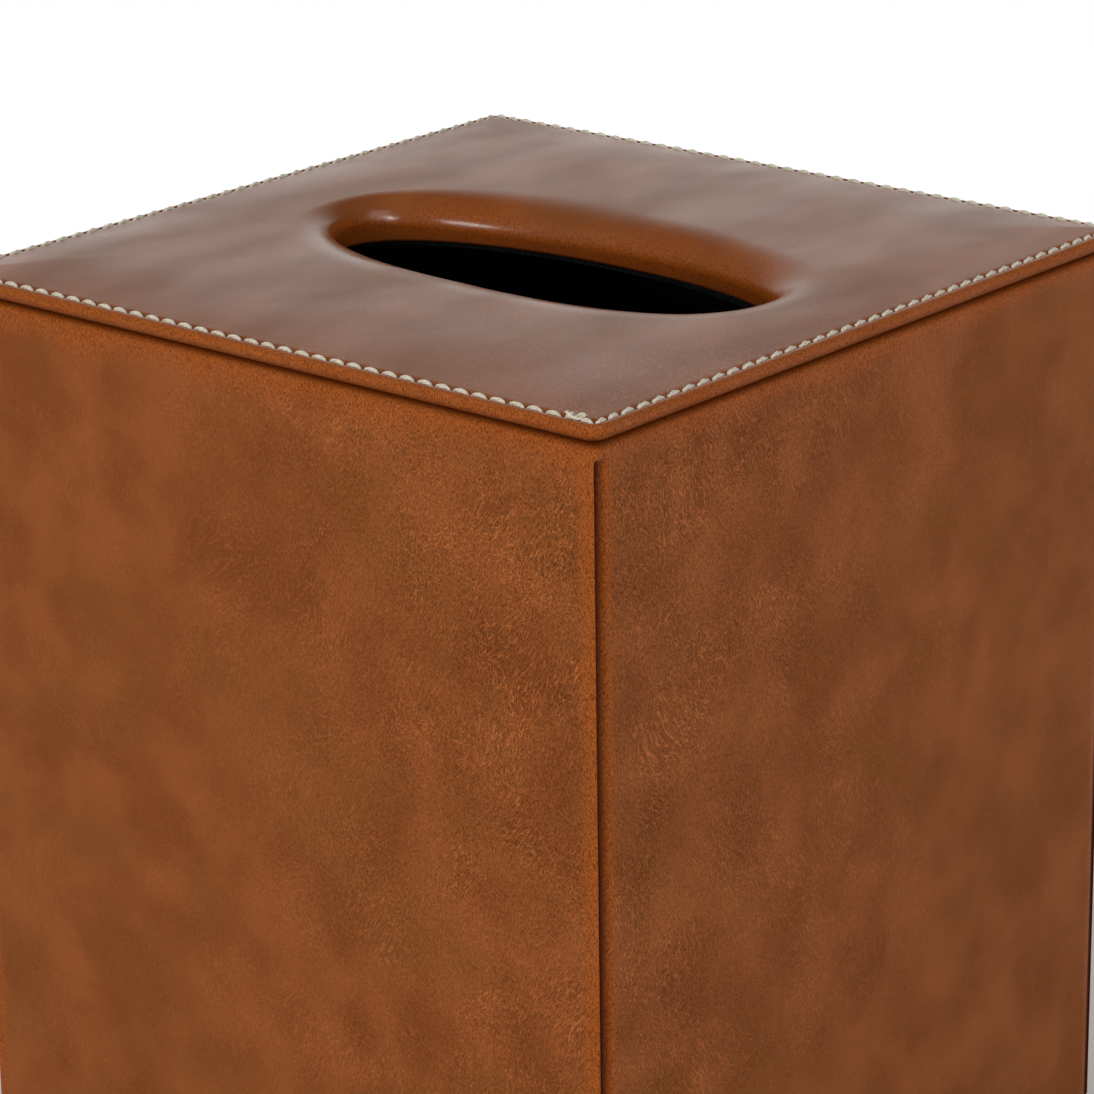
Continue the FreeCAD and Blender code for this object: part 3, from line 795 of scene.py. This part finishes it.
def shoulder_width(angle):
    plus = math.cos(angle) > 0
    end = SHOULDER_PLUS_END if plus else SHOULDER_MINUS_END
    side = SHOULDER_FAR - SHOULDER_SLIM * smooth_step(-0.6, 0.7, -math.cos(angle))
    turn = FAR_TURN
    if angle > 0:
        side, turn = SHOULDER_NEAR, NEAR_PLUS_TURN if plus else NEAR_MINUS_TURN
    from_end = math.degrees(abs(angle) if plus else math.pi - abs(angle))
    return end + (side - end) * smooth_step(0, turn, from_end)


def shoulder_power(angle):
    """The far side stays level for longer and then drops more quickly."""
    return 2.5 - 0.5 * outward(angle)[1]


def roll_lean(angle):
    """How far the leather already leans where the roll begins."""
    drop = PAD_Z + PAD_RISE - CREST_Z
    return math.atan(shoulder_power(angle) * drop / shoulder_width(angle))


print("slope on the near side: %.1f mm wide" % shoulder_width(math.pi / 2))

# %% Profiles of the edge, the seam and the pad
EDGE_ROUND, UNDER_ROUND = 0.75, 0.9
EDGE_MIDDLE = [(-0.05, SEAT_Z + 1.45), (-0.05, SEAT_Z + 1.75), (0.0, RIM_Z - EDGE_ROUND)]
# Each pair is how far inside the lid's outline a ring lies, and its height.
under_profile = [(4.0, SEAT_Z + 0.02), (2.2, SEAT_Z + 0.06)]
under_profile += [(UNDER_ROUND * (1 - math.sin(t)), SEAT_Z + 0.14 + UNDER_ROUND * (1 - math.cos(t)))
                  for t in in_radians((0, 20, 40, 60, 78, 90))]
top_profile = [(EDGE_ROUND * (1 - math.cos(t)), RIM_Z - EDGE_ROUND * (1 - math.sin(t)))
               for t in in_radians((20, 40, 60, 80))]
# The heights of the seam are over the rim.
seam_profile = [(0.8, 0.02), (0.95, 0.0), (1.1, -0.10), (1.25, -0.26), (1.4, -0.34),
                (1.55, -0.26), (1.7, -0.10), (1.9, 0.05), (2.2, 0.15), (2.6, 0.23), (3.2, 0.31)]
PAD_INSETS = [4.0, 4.9, 6.0, 7.2]
PUCKER = 0.30                                       # how deep a needle hole pulls the leather
PAD_START, PAD_RUN = seam_profile[-1], 18.0         # the pad rounds off over this


def pad_rise(inset):
    """Height of the pad over the rim: steep near the seam, then slowly rounding off."""
    far = 1 - min(1.0, (inset - PAD_START[0]) / PAD_RUN)
    return PAD_START[1] + (PAD_Z - RIM_Z + PAD_RISE - PAD_START[1]) * (1 - far ** 2.2)


def swell(x, y):
    """Slow unevenness of the padding under the leather, in mm."""
    return (0.10 * math.sin(x * 0.071 + 0.6) * math.cos(y * 0.083 - 0.4)
            + 0.05 * math.sin(x * 0.19 - y * 0.13 + 1.7))


def pad_height(x, y):
    """Height of the pad away from the opening."""
    inset = min(LID_HALF - abs(x), LID_HALF - abs(y))
    return RIM_Z + pad_rise(inset) + swell(x, y)


print("middle of the pad at z %.1f mm" % pad_height(0, 0))

# %% Rings from the lid's underside over the seam
lid_skin = Skin()
lid_rings = []


def add_ring(ring, heights, wear, painted_shade_and_dye=0.0):
    lid_rings.append(lid_skin.add_row([(x, y, z) for (x, y), z in zip(ring, heights)],
                                      wear, painted_shade_and_dye))


def along_seam(x, y):
    """Distance along a side from its start corner: both rows that meet there run away from it."""
    if abs(y) > abs(x):
        return LID_HALF + x * (1 if y > 0 else -1)
    return LID_HALF - y * (1 if x < 0 else -1)


# The edge's underside and lower rounding face down and get painted shade near the seat.
for inset, z in under_profile + EDGE_MIDDLE + top_profile:
    add_ring(square_ring(inset), [z] * len(outline), 0.95,
             0.5 * (1 - smooth_step(0.3, 1.6, z - SEAT_Z)))
for inset, rise in seam_profile:
    beside = 1 - smooth_step(0.15, 1.0, abs(inset - SEAM_INSET))
    near_hole = [1 - smooth_step(0.0, 0.5, hole_distance(along_seam(x, y))) for x, y in outline]
    add_ring(square_ring(inset), [RIM_Z + rise - PUCKER * near * beside for near in near_hole],
             max(0.0, 0.6 - 0.3 * abs(inset - SEAM_INSET)))
for inset in PAD_INSETS:
    ring = square_ring(inset)
    add_ring(ring, [RIM_Z + pad_rise(inset) + swell(x, y) * smooth_step(3, 9, inset)
                    for x, y in ring], 0.0)
print("rings as far as the pad:", len(lid_rings))


# %% Rings over the pad, down the slope and into the opening
def shoulder_point(angle, share):
    """A point between the roll, where share is 0, and the level pad, where it is 1."""
    begin = roll_reach(angle) * (1 - math.sin(roll_lean(angle)))
    x, y = oval_point(angle, begin + share * shoulder_width(angle))
    return x, y, CREST_Z + (pad_height(x, y) - CREST_Z) * (1 - (1 - share) ** shoulder_power(angle))


last_square = square_ring(PAD_INSETS[-1])
shoulder_edge = [shoulder_point(t, 1.0) for t in angles]
for share in spread(0.0, 1.0, 0.125)[1:-1]:
    ring = [(sx + (ox - sx) * share, sy + (oy - sy) * share)
            for (sx, sy), (ox, oy, _) in zip(last_square, shoulder_edge)]
    add_ring(ring, [pad_height(x, y) for x, y in ring], 0.0)
for share in spread(1.0, 0.0, 0.075):
    ring = [shoulder_point(t, share) for t in angles]
    add_ring([(x, y) for x, y, _ in ring], [z for _, _, z in ring], 0.5 * (1 - share) ** 1.5)
# Down the roll the painted shade deepens towards the throat.
for turned in spread(0.0, 1.0, 0.09)[1:]:
    ring, heights = [], []
    for angle in angles:
        lean = roll_lean(angle)
        t = lean + (math.pi / 2 - lean) * turned
        ring.append(oval_point(angle, roll_reach(angle) * (1 - math.sin(t))))
        heights.append(CREST_Z - ROLL_DROP * (math.cos(lean) - math.cos(t)))
    add_ring(ring, heights, 0.5 + 0.4 * math.sin(math.pi / 2 * turned), 0.5 * turned ** 4)

# Below the roll the leather hangs straight down, and its cut end spreads a little. Down there it gets deep
# painted shade.
CUT_SPREAD = 0.12
for grow, z, throat_shade in ((0.0, CREST_Z - ROLL_DROP, 0.55), (0.0, lid_low.z / MM, 0.8),
                       (CUT_SPREAD, lid_low.z / MM, 0.8)):
    add_ring([oval_point(t, grow) for t in angles], [z] * len(outline), 0.5, throat_shade)
print("rings of the lid:", len(lid_rings))

# %% The lid's leather cover
side_rings = len(under_profile + EDGE_MIDDLE)       # these look like the walls
for i, (low, high) in enumerate(zip(lid_rings, lid_rings[1:])):
    lid_skin.join(low, high, closed=True, slot=1 if i < side_rings else 0)
lid_cover = lid_skin.make("lid_leather_cover", leather_of_lid, leather_of_walls)
face_outwards(lid_cover)
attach(lid_cover, "lid")
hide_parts("lid_leather")
print("lid cover faces:", len(lid_cover.data.polygons))

# %% [markdown]
# ## The seam
#
# The thread is three plies twisted together, and each stitch is a short length of it that rises
# out of one needle hole and dives into the next. A tube with a bump texture would look smooth, so
# every ply is swept along its own helix. The stitches differ a little in place, height and twist,
# as hand-guided machine sewing does. Near the corner where the sewing ended, the thread is knotted
# and its cut ends fray.

# %% Sweeping a ply along a curve
random.seed(41)
PLY_RADIUS = 0.235
TWIST_RADIUS = 0.185
TURNS_PER_MM = 0.6 / 3.4
PLIES, PLY_SIDES, PLY_STEPS = 3, 7, 12
STITCH_ARCH, STITCH_SINK = 0.40, 0.34               # how high it rises and how deep it starts


def sweep(skin, path, radii, sides):
    """Adds a closed tube along a path of points, with a radius at each."""
    rings = []
    for i, spot in enumerate(path):
        ahead = path[min(i + 1, len(path) - 1)] - path[max(i - 1, 0)]
        ahead.normalize()
        aside = ahead.cross(Vector((0, 0, 1)))
        if aside.length < 1e-4:
            aside = ahead.cross(Vector((1, 0, 0)))
        aside.normalize()
        above = aside.cross(ahead)
        around = [2 * math.pi * k / sides for k in range(sides)]
        rings.append(skin.add_row([
            tuple(spot + radii[i] * (math.cos(t) * aside + math.sin(t) * above))
            for t in around]))
    for low, high in zip(rings, rings[1:]):
        skin.join(low, high, closed=True)
    skin.add_face(rings[0][::-1])
    skin.add_face(rings[-1])


def twisted_stitch(skin, start, end, height):
    """Three plies from one needle hole to the next."""
    along = end - start
    turns = along.length * TURNS_PER_MM
    up = Vector((0, 0, 1))
    aside = along.normalized().cross(up).normalized()
    phase = random.uniform(-0.5, 0.5)
    for ply in range(PLIES):
        path, radii = [], []
        for t in [i / PLY_STEPS for i in range(PLY_STEPS + 1)]:
            arch = math.sin(math.pi * t) ** 0.55 if 0 < t < 1 else 0.0
            spin = 2 * math.pi * (turns * t + ply / PLIES) + phase
            pinch = 0.55 + 0.45 * arch
            middle = start.lerp(end, t) + up * (height * (STITCH_ARCH * arch - STITCH_SINK))
            path.append(middle + pinch * TWIST_RADIUS * (math.cos(spin) * aside
                                                         + math.sin(spin) * up))
            radii.append(PLY_RADIUS * (0.62 + 0.38 * arch))
        sweep(skin, path, radii, PLY_SIDES)


print("ply radius in mm:", PLY_RADIUS)

# %% The four rows of stitches
SEAM_SLANT = 0.13                                   # each stitch lies a little askew
HOLE_GAP = 0.32                                     # from a needle hole's middle to the thread
HOLE_LONG, HOLE_WIDE, HOLE_SIDES = 1.25 * 0.34, 1.25 * 0.20, 10
HOLE_LOW, HOLE_HIGH = RIM_Z - 0.60, RIM_Z - 0.50
REACH = LID_HALF - SEAM_INSET
START_CORNERS = ((1, -1), (-1, 1))                  # a pair of rows starts at each
seam_skin, hole_skin = Skin(), Skin()
for sx, sy in START_CORNERS:
    for along_x in (True, False):
        runs = [LID_HALF - mark for mark in holes]
        spots = [Vector((sx * run, sy * REACH, RIM_Z) if along_x else
                        (sx * REACH, sy * run, RIM_Z)) for run in runs]
        askew = Vector((0, sy, 0) if along_x else (sx, 0, 0)) * SEAM_SLANT
        for first, second in zip(spots, spots[1:]):
            gap = (second - first).normalized() * HOLE_GAP
            shift = Vector((random.uniform(-0.05, 0.05), random.uniform(-0.05, 0.05), 0))
            twisted_stitch(seam_skin, first + gap + shift + askew, second - gap + shift - askew,
                           random.uniform(0.9, 1.1))
        # A flat dark disc sits in each needle hole as painted shade.
        wide, deep = (HOLE_LONG, HOLE_WIDE) if along_x else (HOLE_WIDE, HOLE_LONG)
        for spot in spots:
            middle, *rim = hole_skin.add_row([(spot.x, spot.y, HOLE_LOW)] + [
                (spot.x + wide * math.cos(t), spot.y + deep * math.sin(t), HOLE_HIGH)
                for t in [2 * math.pi * k / HOLE_SIDES for k in range(HOLE_SIDES)]])
            for first, second in zip(rim, rim[1:] + rim[:1]):
                hole_skin.add_face((middle, first, second))
seam = seam_skin.make("seam_thread", cotton_thread)
painted_hole_shades = hole_skin.make("painted_hole_shades", painted_hole_shade_finish)
for piece in (seam, painted_hole_shades):
    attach(piece, "lid")
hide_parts("lid_stitching")
print("stitches:", 4 * (len(holes) - 1), "seam points:", len(seam_skin.points))

# %% The knot and its frayed ends
KNOT_STEPS, KNOT_SIDES = 60, 8
FIBRES, FIBRE_SIDES = 16, 4
knot_middle = Vector((-LID_HALF + 5.2, REACH, RIM_Z + 0.34))
knot_skin = Skin()
turns = [2 * math.pi * i / KNOT_STEPS for i in range(KNOT_STEPS + 1)]
loops = [knot_middle + Vector((1.15 * math.sin(t) + 0.5 * math.sin(2 * t + 0.4),
                               0.55 * math.cos(2 * t) - 0.12,
                               0.30 * math.sin(3 * t) + 0.10)) for t in turns]
sweep(knot_skin, loops, [0.24 + 0.04 * math.sin(9 * t) for t in turns], KNOT_SIDES)
for _ in range(FIBRES):
    spot = knot_middle + Vector((random.uniform(-2.2, 2.0), random.uniform(-0.5, 0.3), 0.1))
    lean = Vector((random.uniform(-1, 1), random.uniform(-0.9, 0.6), random.uniform(0.0, 0.5)))
    lean = lean.normalized() * random.uniform(0.4, 0.95)
    curl = Vector((random.uniform(-1, 1), random.uniform(-1, 1), 0.0)) * 0.35
    fibre = [spot + lean * s + curl * s * s for s in (0, 0.25, 0.5, 0.75, 1.0)]
    sweep(knot_skin, fibre, [0.05, 0.045, 0.04, 0.03, 0.02], FIBRE_SIDES)
knot = knot_skin.make("seam_knot", cotton_thread)
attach(knot, "lid")
print("knot points:", len(knot_skin.points))

# %% [markdown]
# ## The drawer's leather front
#
# The front board of the drawer is wrapped in the same hide as the walls, and it lies flush with
# them. A bevel on a box would give it hard even edges. Here the front is a grid whose rows and
# columns roll back at the edges with a soft radius, and its middle is a little proud, because
# leather that is glued round a board pulls tight at the edges first.

# %% Sizes of the drawer front
front_low, front_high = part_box("drawer_front_leather")
FRONT_HALF = front_high.x / MM
FRONT_LOW_Z, FRONT_HIGH_Z = front_low.z / MM, front_high.z / MM
FRONT_BACK = front_high.y / MM
FRONT_ROUND = 1.1
FRONT_FLAT = 2.0                                    # flat columns keep this far from the edge
FRONT_PROUD = 0.12


def rolled_edge(low, high, step):
    """Positions with their depth: flat in the middle, rolled back at both ends."""
    ends = [(FRONT_ROUND * (1 - math.sin(t)), FRONT_ROUND * (1 - math.cos(t)))
            for t in in_radians((90, 70, 50, 30, 12))]
    flat = [(v, 0.0) for v in spread(low + FRONT_FLAT, high - FRONT_FLAT, step)]
    return [(low + s, d) for s, d in ends] + flat + [(high - s, d) for s, d in reversed(ends)]


across = rolled_edge(-FRONT_HALF, FRONT_HALF, 2.6)
upwards = rolled_edge(FRONT_LOW_Z, FRONT_HIGH_Z, 2.2)
print("drawer front %.1f by %.1f mm" % (2 * FRONT_HALF, FRONT_HIGH_Z - FRONT_LOW_Z))


# %% Drawer front
def front_point(x, dx, z, dz):
    proud = FRONT_PROUD * (1 - (x / FRONT_HALF) ** 4) if dx == dz == 0 else 0.0
    return x, -HALF + min(math.hypot(dx, dz), FRONT_ROUND) - proud, z


def front_wear(x, z):
    edge = min(FRONT_HALF - abs(x), z - FRONT_LOW_Z, FRONT_HIGH_Z - z)
    return max(0.0, 1.0 - edge / 4.5)


front_skin = Skin()
grid = [front_skin.add_row([front_point(x, dx, z, dz) for x, dx in across],
                           [front_wear(x, z) for x, _ in across]) for z, dz in upwards]
for low, high in zip(grid, grid[1:]):
    front_skin.join(low, high)
rim = (grid[0] + [row[-1] for row in grid[1:-1]] + grid[-1][::-1]
       + [row[0] for row in grid[-2:0:-1]])
previous = rim
for depth in (2.4, FRONT_BACK + HALF):
    spots = [front_skin.points[index] for index in rim]
    current = front_skin.add_row([(x, -HALF + depth, z) for x, _, z in spots], 0.8)
    front_skin.join(previous, current, closed=True)
    previous = current
drawer_face = front_skin.make("drawer_leather_face", leather_of_walls)
face_outwards(drawer_face)
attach(drawer_face, "drawer")
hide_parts("drawer_front_leather")
print("drawer face points:", len(front_skin.points))

# %% [markdown]
# ## The pull tab
#
# A strip of the same hide is folded into a loop and held by a brass post through both layers. Its
# cut edges show the raw, paler inside of the leather. The strip is swept along its own middle line,
# with its width and thickness.

# %% Middle line of the strip
TAB_WIDTH, TAB_THICK = 14.0, 1.2
CLAMP_REACH = 4.5                                   # below the post the two layers part
tab_low, tab_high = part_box("pull_tab")
post_low, post_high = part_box("pull_post")
LOOP_R = (-HALF - tab_low.y / MM) / 2 - TAB_THICK / 2   # radius of the strip's middle line
LOOP_Y = -HALF - LOOP_R - TAB_THICK / 2
LOOP_Z = tab_low.z / MM + LOOP_R + TAB_THICK / 2
CLAMP_LOW, CLAMP_HIGH = (post_low.z + post_high.z) / 2 / MM - CLAMP_REACH, tab_high.z / MM
OUTER_Y, INNER_Y = -HALF - 1.5 * TAB_THICK, -HALF - 0.5 * TAB_THICK


def loop_start():
    """The angle at which the outer layer's straight part touches the loop."""
    dy, dz = OUTER_Y - LOOP_Y, CLAMP_LOW - LOOP_Z
    return math.atan2(dz, dy) + math.acos(LOOP_R / math.hypot(dy, dz))


loop = [(LOOP_Y + LOOP_R * math.cos(t), LOOP_Z + LOOP_R * math.sin(t))
        for t in spread(loop_start(), 2 * math.pi, 0.16)]
line = [(OUTER_Y, z) for z in spread(CLAMP_HIGH, CLAMP_LOW, 0.8)]
line += [(OUTER_Y + (loop[0][0] - OUTER_Y) * s, CLAMP_LOW + (loop[0][1] - CLAMP_LOW) * s)
         for s in (0.25, 0.5, 0.75)]
line += loop + [(INNER_Y, z) for z in spread(LOOP_Z, CLAMP_HIGH, 0.8)[1:]]
print("strip length %.0f mm" % sum(math.dist(a, b) for a, b in zip(line, line[1:])))

# %% The strip
HALF_WIDTH, HALF_THICK = TAB_WIDTH / 2, TAB_THICK / 2
END_ROUND = 3.0                                     # radius of the strip's rounded ends
END_POINTS = 8                                      # the points of the line that may lie in them
ends = [(HALF_WIDTH, HALF_THICK - 0.26), (HALF_WIDTH - 0.12, HALF_THICK - 0.08),
        (HALF_WIDTH - 0.4, HALF_THICK)]
profile = [(-x, t) for x, t in ends]
profile += [(v, HALF_THICK) for v in spread(1.2 - HALF_WIDTH, HALF_WIDTH - 1.2, 1.45)]
profile += ends[::-1]
section = profile + [(x, -t) for x, t in reversed(profile)]
far_side = len(profile)
cut_points = {0, 1, len(section) - 2, len(section) - 1,
              far_side - 2, far_side - 1, far_side, far_side + 1}   # on the strip's cut sides


def strip_narrowing(i, y, z):
    """The strip is rounded at its two ends and as wide as TAB_WIDTH between them."""
    to_end = CLAMP_HIGH - z
    if y <= LOOP_Y - LOOP_R or to_end >= END_ROUND or END_POINTS <= i <= len(line) - END_POINTS:
        return 1.0
    rounded = math.sqrt(max(0.0, END_ROUND ** 2 - (END_ROUND - to_end) ** 2))
    return (HALF_WIDTH - END_ROUND + rounded) / HALF_WIDTH


strip_skin = Skin()
section_wear = [max(0.0, 0.9 - (HALF_WIDTH - abs(x)) / 1.6) for x, _ in section]
rings = []
for i, (y, z) in enumerate(line):
    before, after = line[max(0, i - 1)], line[min(len(line) - 1, i + 1)]
    dy, dz = after[0] - before[0], after[1] - before[1]
    size = math.hypot(dy, dz)
    narrow = strip_narrowing(i, y, z)
    rings.append(strip_skin.add_row([(x * narrow, y - t * dz / size, z + t * dy / size)
                                     for x, t in section], section_wear))
for low, high in zip(rings, rings[1:]):
    for k in range(len(section)):
        after = (k + 1) % len(section)
        strip_skin.add_face((low[k], low[after], high[after], high[k]),
                            1 if {k, after} <= cut_points else 0)
for ring in (rings[0], rings[-1]):
    strip_skin.add_face(ring, 1)
pull_tab = strip_skin.make("pull_tab_strip", leather_of_lid, cut_leather)
face_outwards(pull_tab)
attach(pull_tab, "drawer")
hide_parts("pull_tab")
print("strip points:", len(strip_skin.points))

# %% [markdown]
# ## Floor and background
#
# The box stands on a plain white table that runs out of sight. Near the box the table is an
# ordinary dull surface, so it takes the box's shadow. Farther out it turns into a sheet that is
# simply white to the eye, as an overlit studio sweep is, and the horizon can't be seen. The room
# does the same, so both ask whether a ray comes from the eye, a mirror or glass.

# %% The floor
FLOOR_HALF = 6000.0                                 # mm
SHADOW_REACH = (330.0, 620.0)                       # mm, where the dull floor turns to plain white


def seen_share(tree, path):
    """1 for a ray from the camera, a mirror or glass, and 0 for light on its way."""
    seen = path.outputs["Is Camera Ray"]
    for kind in ("Is Glossy Ray", "Is Transmission Ray"):
        seen = add_node(tree, "Math", {"operation": "MAXIMUM"}, {0: seen, 1: path.outputs[kind]})
    return seen


def make_floor_finish():
    material, tree, shader = new_material("white_table_laminate")
    fill_inputs(tree, shader, {"Base Color": linear("F6F5F3"), "Roughness": 0.7,
                               "Specular IOR Level": 0.2})
    place = add_node(tree, "TexCoord").outputs["Object"]
    reach = add_node(tree, "VectorMath", {"operation": "LENGTH"}, {0: place})
    far = add_node(tree, "MapRange", SMOOTH, {"Value": reach, "From Min": SHADOW_REACH[0] * MM,
                                              "From Max": SHADOW_REACH[1] * MM})
    seen = seen_share(tree, add_node(tree, "LightPath"))
    plain = add_node(tree, "Math", MULTIPLY, {0: far, 1: seen})
    white = add_node(tree, "Emission", inputs={"Color": (1, 1, 1, 1), "Strength": 1.0})
    joined = add_node(tree, "MixShader", inputs={0: plain, 1: shader, 2: white})
    output = next(node for node in tree.nodes if node.type == "OUTPUT_MATERIAL")
    fill_inputs(tree, output, {"Surface": joined})
    return material


floor_skin = Skin()
floor_skin.add_face(floor_skin.add_row([(x * FLOOR_HALF, y * FLOOR_HALF, 0)
                                        for x, y in ((-1, -1), (1, -1), (1, 1), (-1, 1))]))
floor = floor_skin.make("studio_table", make_floor_finish())
print("floor half width in mm:", FLOOR_HALF)

# %% [markdown]
# ## Light
#
# An even white room gives most of the light, so colours come out about as they are written. Two
# large soft panels do the rest: one high on the left, which makes the front a little warmer and
# brighter than the side, and a low one on the right that keeps the side from going dull. The left
# one stands for a polarised lamp, so it lights the leather and isn't mirrored in it. Two narrow
# strips, one on each side of the camera, draw the thin highlights on the roll of leather round the
# opening. What else the leather mirrors is the white sweep behind the box, and a room that gets
# dimmer towards the camera and higher up. The lights suit this camera: seen low from the drawer
# side, the flat of the lid mirrors the left strip and looks white.

# %% World
ROOM_LIGHT, ROOM_TINT = 0.42, (1.0, 0.985, 0.965, 1)
SWEEP_TINT = (1.0, 0.985, 0.945, 1)                 # of the sweep as the leather mirrors it
TOWARDS_SWEEP = (0.64, -0.77, 0.0)
DIM_ROOM = 0.15                                     # the mirrored room away from the sweep
world = bpy.data.worlds.new("white_studio")
bpy.context.scene.world = world
world.use_nodes = True
tree = world.node_tree
tree.nodes.clear()
path = add_node(tree, "LightPath")
mirrored = path.outputs["Is Glossy Ray"]
room = add_node(tree, "Background", inputs={"Color": ROOM_TINT, "Strength": ROOM_LIGHT})
direction = add_node(tree, "TexCoord").outputs["Generated"]
facing = add_node(tree, "VectorMath", {"operation": "DOT_PRODUCT"},
                  {0: direction, 1: TOWARDS_SWEEP})
dimmer = add_node(tree, "MapRange", SMOOTH, {"Value": facing, "From Min": 0.35,
                                             "From Max": 0.97, "To Min": DIM_ROOM, "To Max": 1.0})
plain_white = add_node(tree, "Math", {"operation": "SUBTRACT"}, {0: 1.0, 1: mirrored})
level = add_node(tree, "Math", {"operation": "MAXIMUM"}, {0: dimmer, 1: plain_white})
tint = add_node(tree, "Mix", COLOURS,
                {MIX_SHARE: mirrored, MIX_FROM: (1, 1, 1, 1), MIX_TO: SWEEP_TINT})
backdrop = add_node(tree, "Background", inputs={"Color": tint, "Strength": level})
mixed = add_node(tree, "MixShader", inputs={0: seen_share(tree, path), 1: room, 2: backdrop})
add_node(tree, "OutputWorld", inputs={"Surface": mixed})
print("light of the room:", ROOM_LIGHT)


# %% Soft panels
def add_panel(name, place, aim_height, size_mm, watts, colour, shows=True):
    """A soft panel at a place, turned to the box's middle line at some height, all in mm."""
    lamp = bpy.data.lights.new(name, "AREA")
    lamp.shape = "RECTANGLE"
    lamp.size, lamp.size_y = size_mm[0] * MM, size_mm[1] * MM
    lamp.energy = watts
    lamp.color = colour
    panel = bpy.data.objects.new(name, lamp)
    bpy.context.scene.collection.objects.link(panel)
    where = Vector(place) * MM
    panel.location = where
    aim = Vector((0, 0, aim_height)) * MM
    panel.rotation_euler = (where - aim).to_track_quat("Z", "Y").to_euler()
    panel.visible_glossy = shows


add_panel("left_panel", (700, 1500, 1300), 110, (1200, 1200), 8.0, (1.0, 0.98, 0.95),
          shows=False)
add_panel("right_panel", (-1600, 500, 700), 100, (1000, 1200), 6.3, (1.0, 0.99, 0.98))
add_panel("strip_left", (70, 1460, 600), 150, (460, 150), 4.2, (1.0, 0.99, 0.97))
add_panel("strip_right", (-1120, 900, 420), 150, (260, 120), 3.0, (1.0, 0.99, 0.97))
print("panels placed:", len(bpy.data.lights))

# %% [markdown]
# ## Camera
#
# A long lens looks at the near corner from a little above, close in, so the lid and the upper part
# of two sides fill the frame and the upright edges stay almost parallel.

# %% Camera
AZIMUTH, ELEVATION, ROLL = 3.845926, 0.319757, -0.014789   # radians
CAMERA_PLACE = (-0.423132, 0.496683, 0.335424)      # metres
camera_data = bpy.data.cameras.new("main_camera")
camera_data.sensor_width = 36.0
camera_data.lens = 137.96
camera_data.shift_y = -0.06124
camera_data.clip_start = 0.01
camera_data.clip_end = 50.0
camera = bpy.data.objects.new("main_camera", camera_data)
bpy.context.scene.collection.objects.link(camera)
backward = Vector((math.sin(AZIMUTH) * math.cos(ELEVATION),
                   -math.cos(AZIMUTH) * math.cos(ELEVATION), math.sin(ELEVATION)))
level = Vector((0, 0, 1)).cross(backward).normalized()
upright = backward.cross(level)
rightward = math.cos(ROLL) * level + math.sin(ROLL) * upright
upward = math.cos(ROLL) * upright - math.sin(ROLL) * level
turn = Matrix((rightward, upward, backward)).transposed()
camera.matrix_world = Matrix.Translation(CAMERA_PLACE) @ turn.to_4x4()
bpy.context.scene.camera = camera
bpy.context.scene.view_settings.view_transform = "Standard"
near_corner = Vector((-HALF, HALF, SEAT_Z)) * MM
print("camera %.0f mm from the near corner" % ((camera.location - near_corner).length / MM))
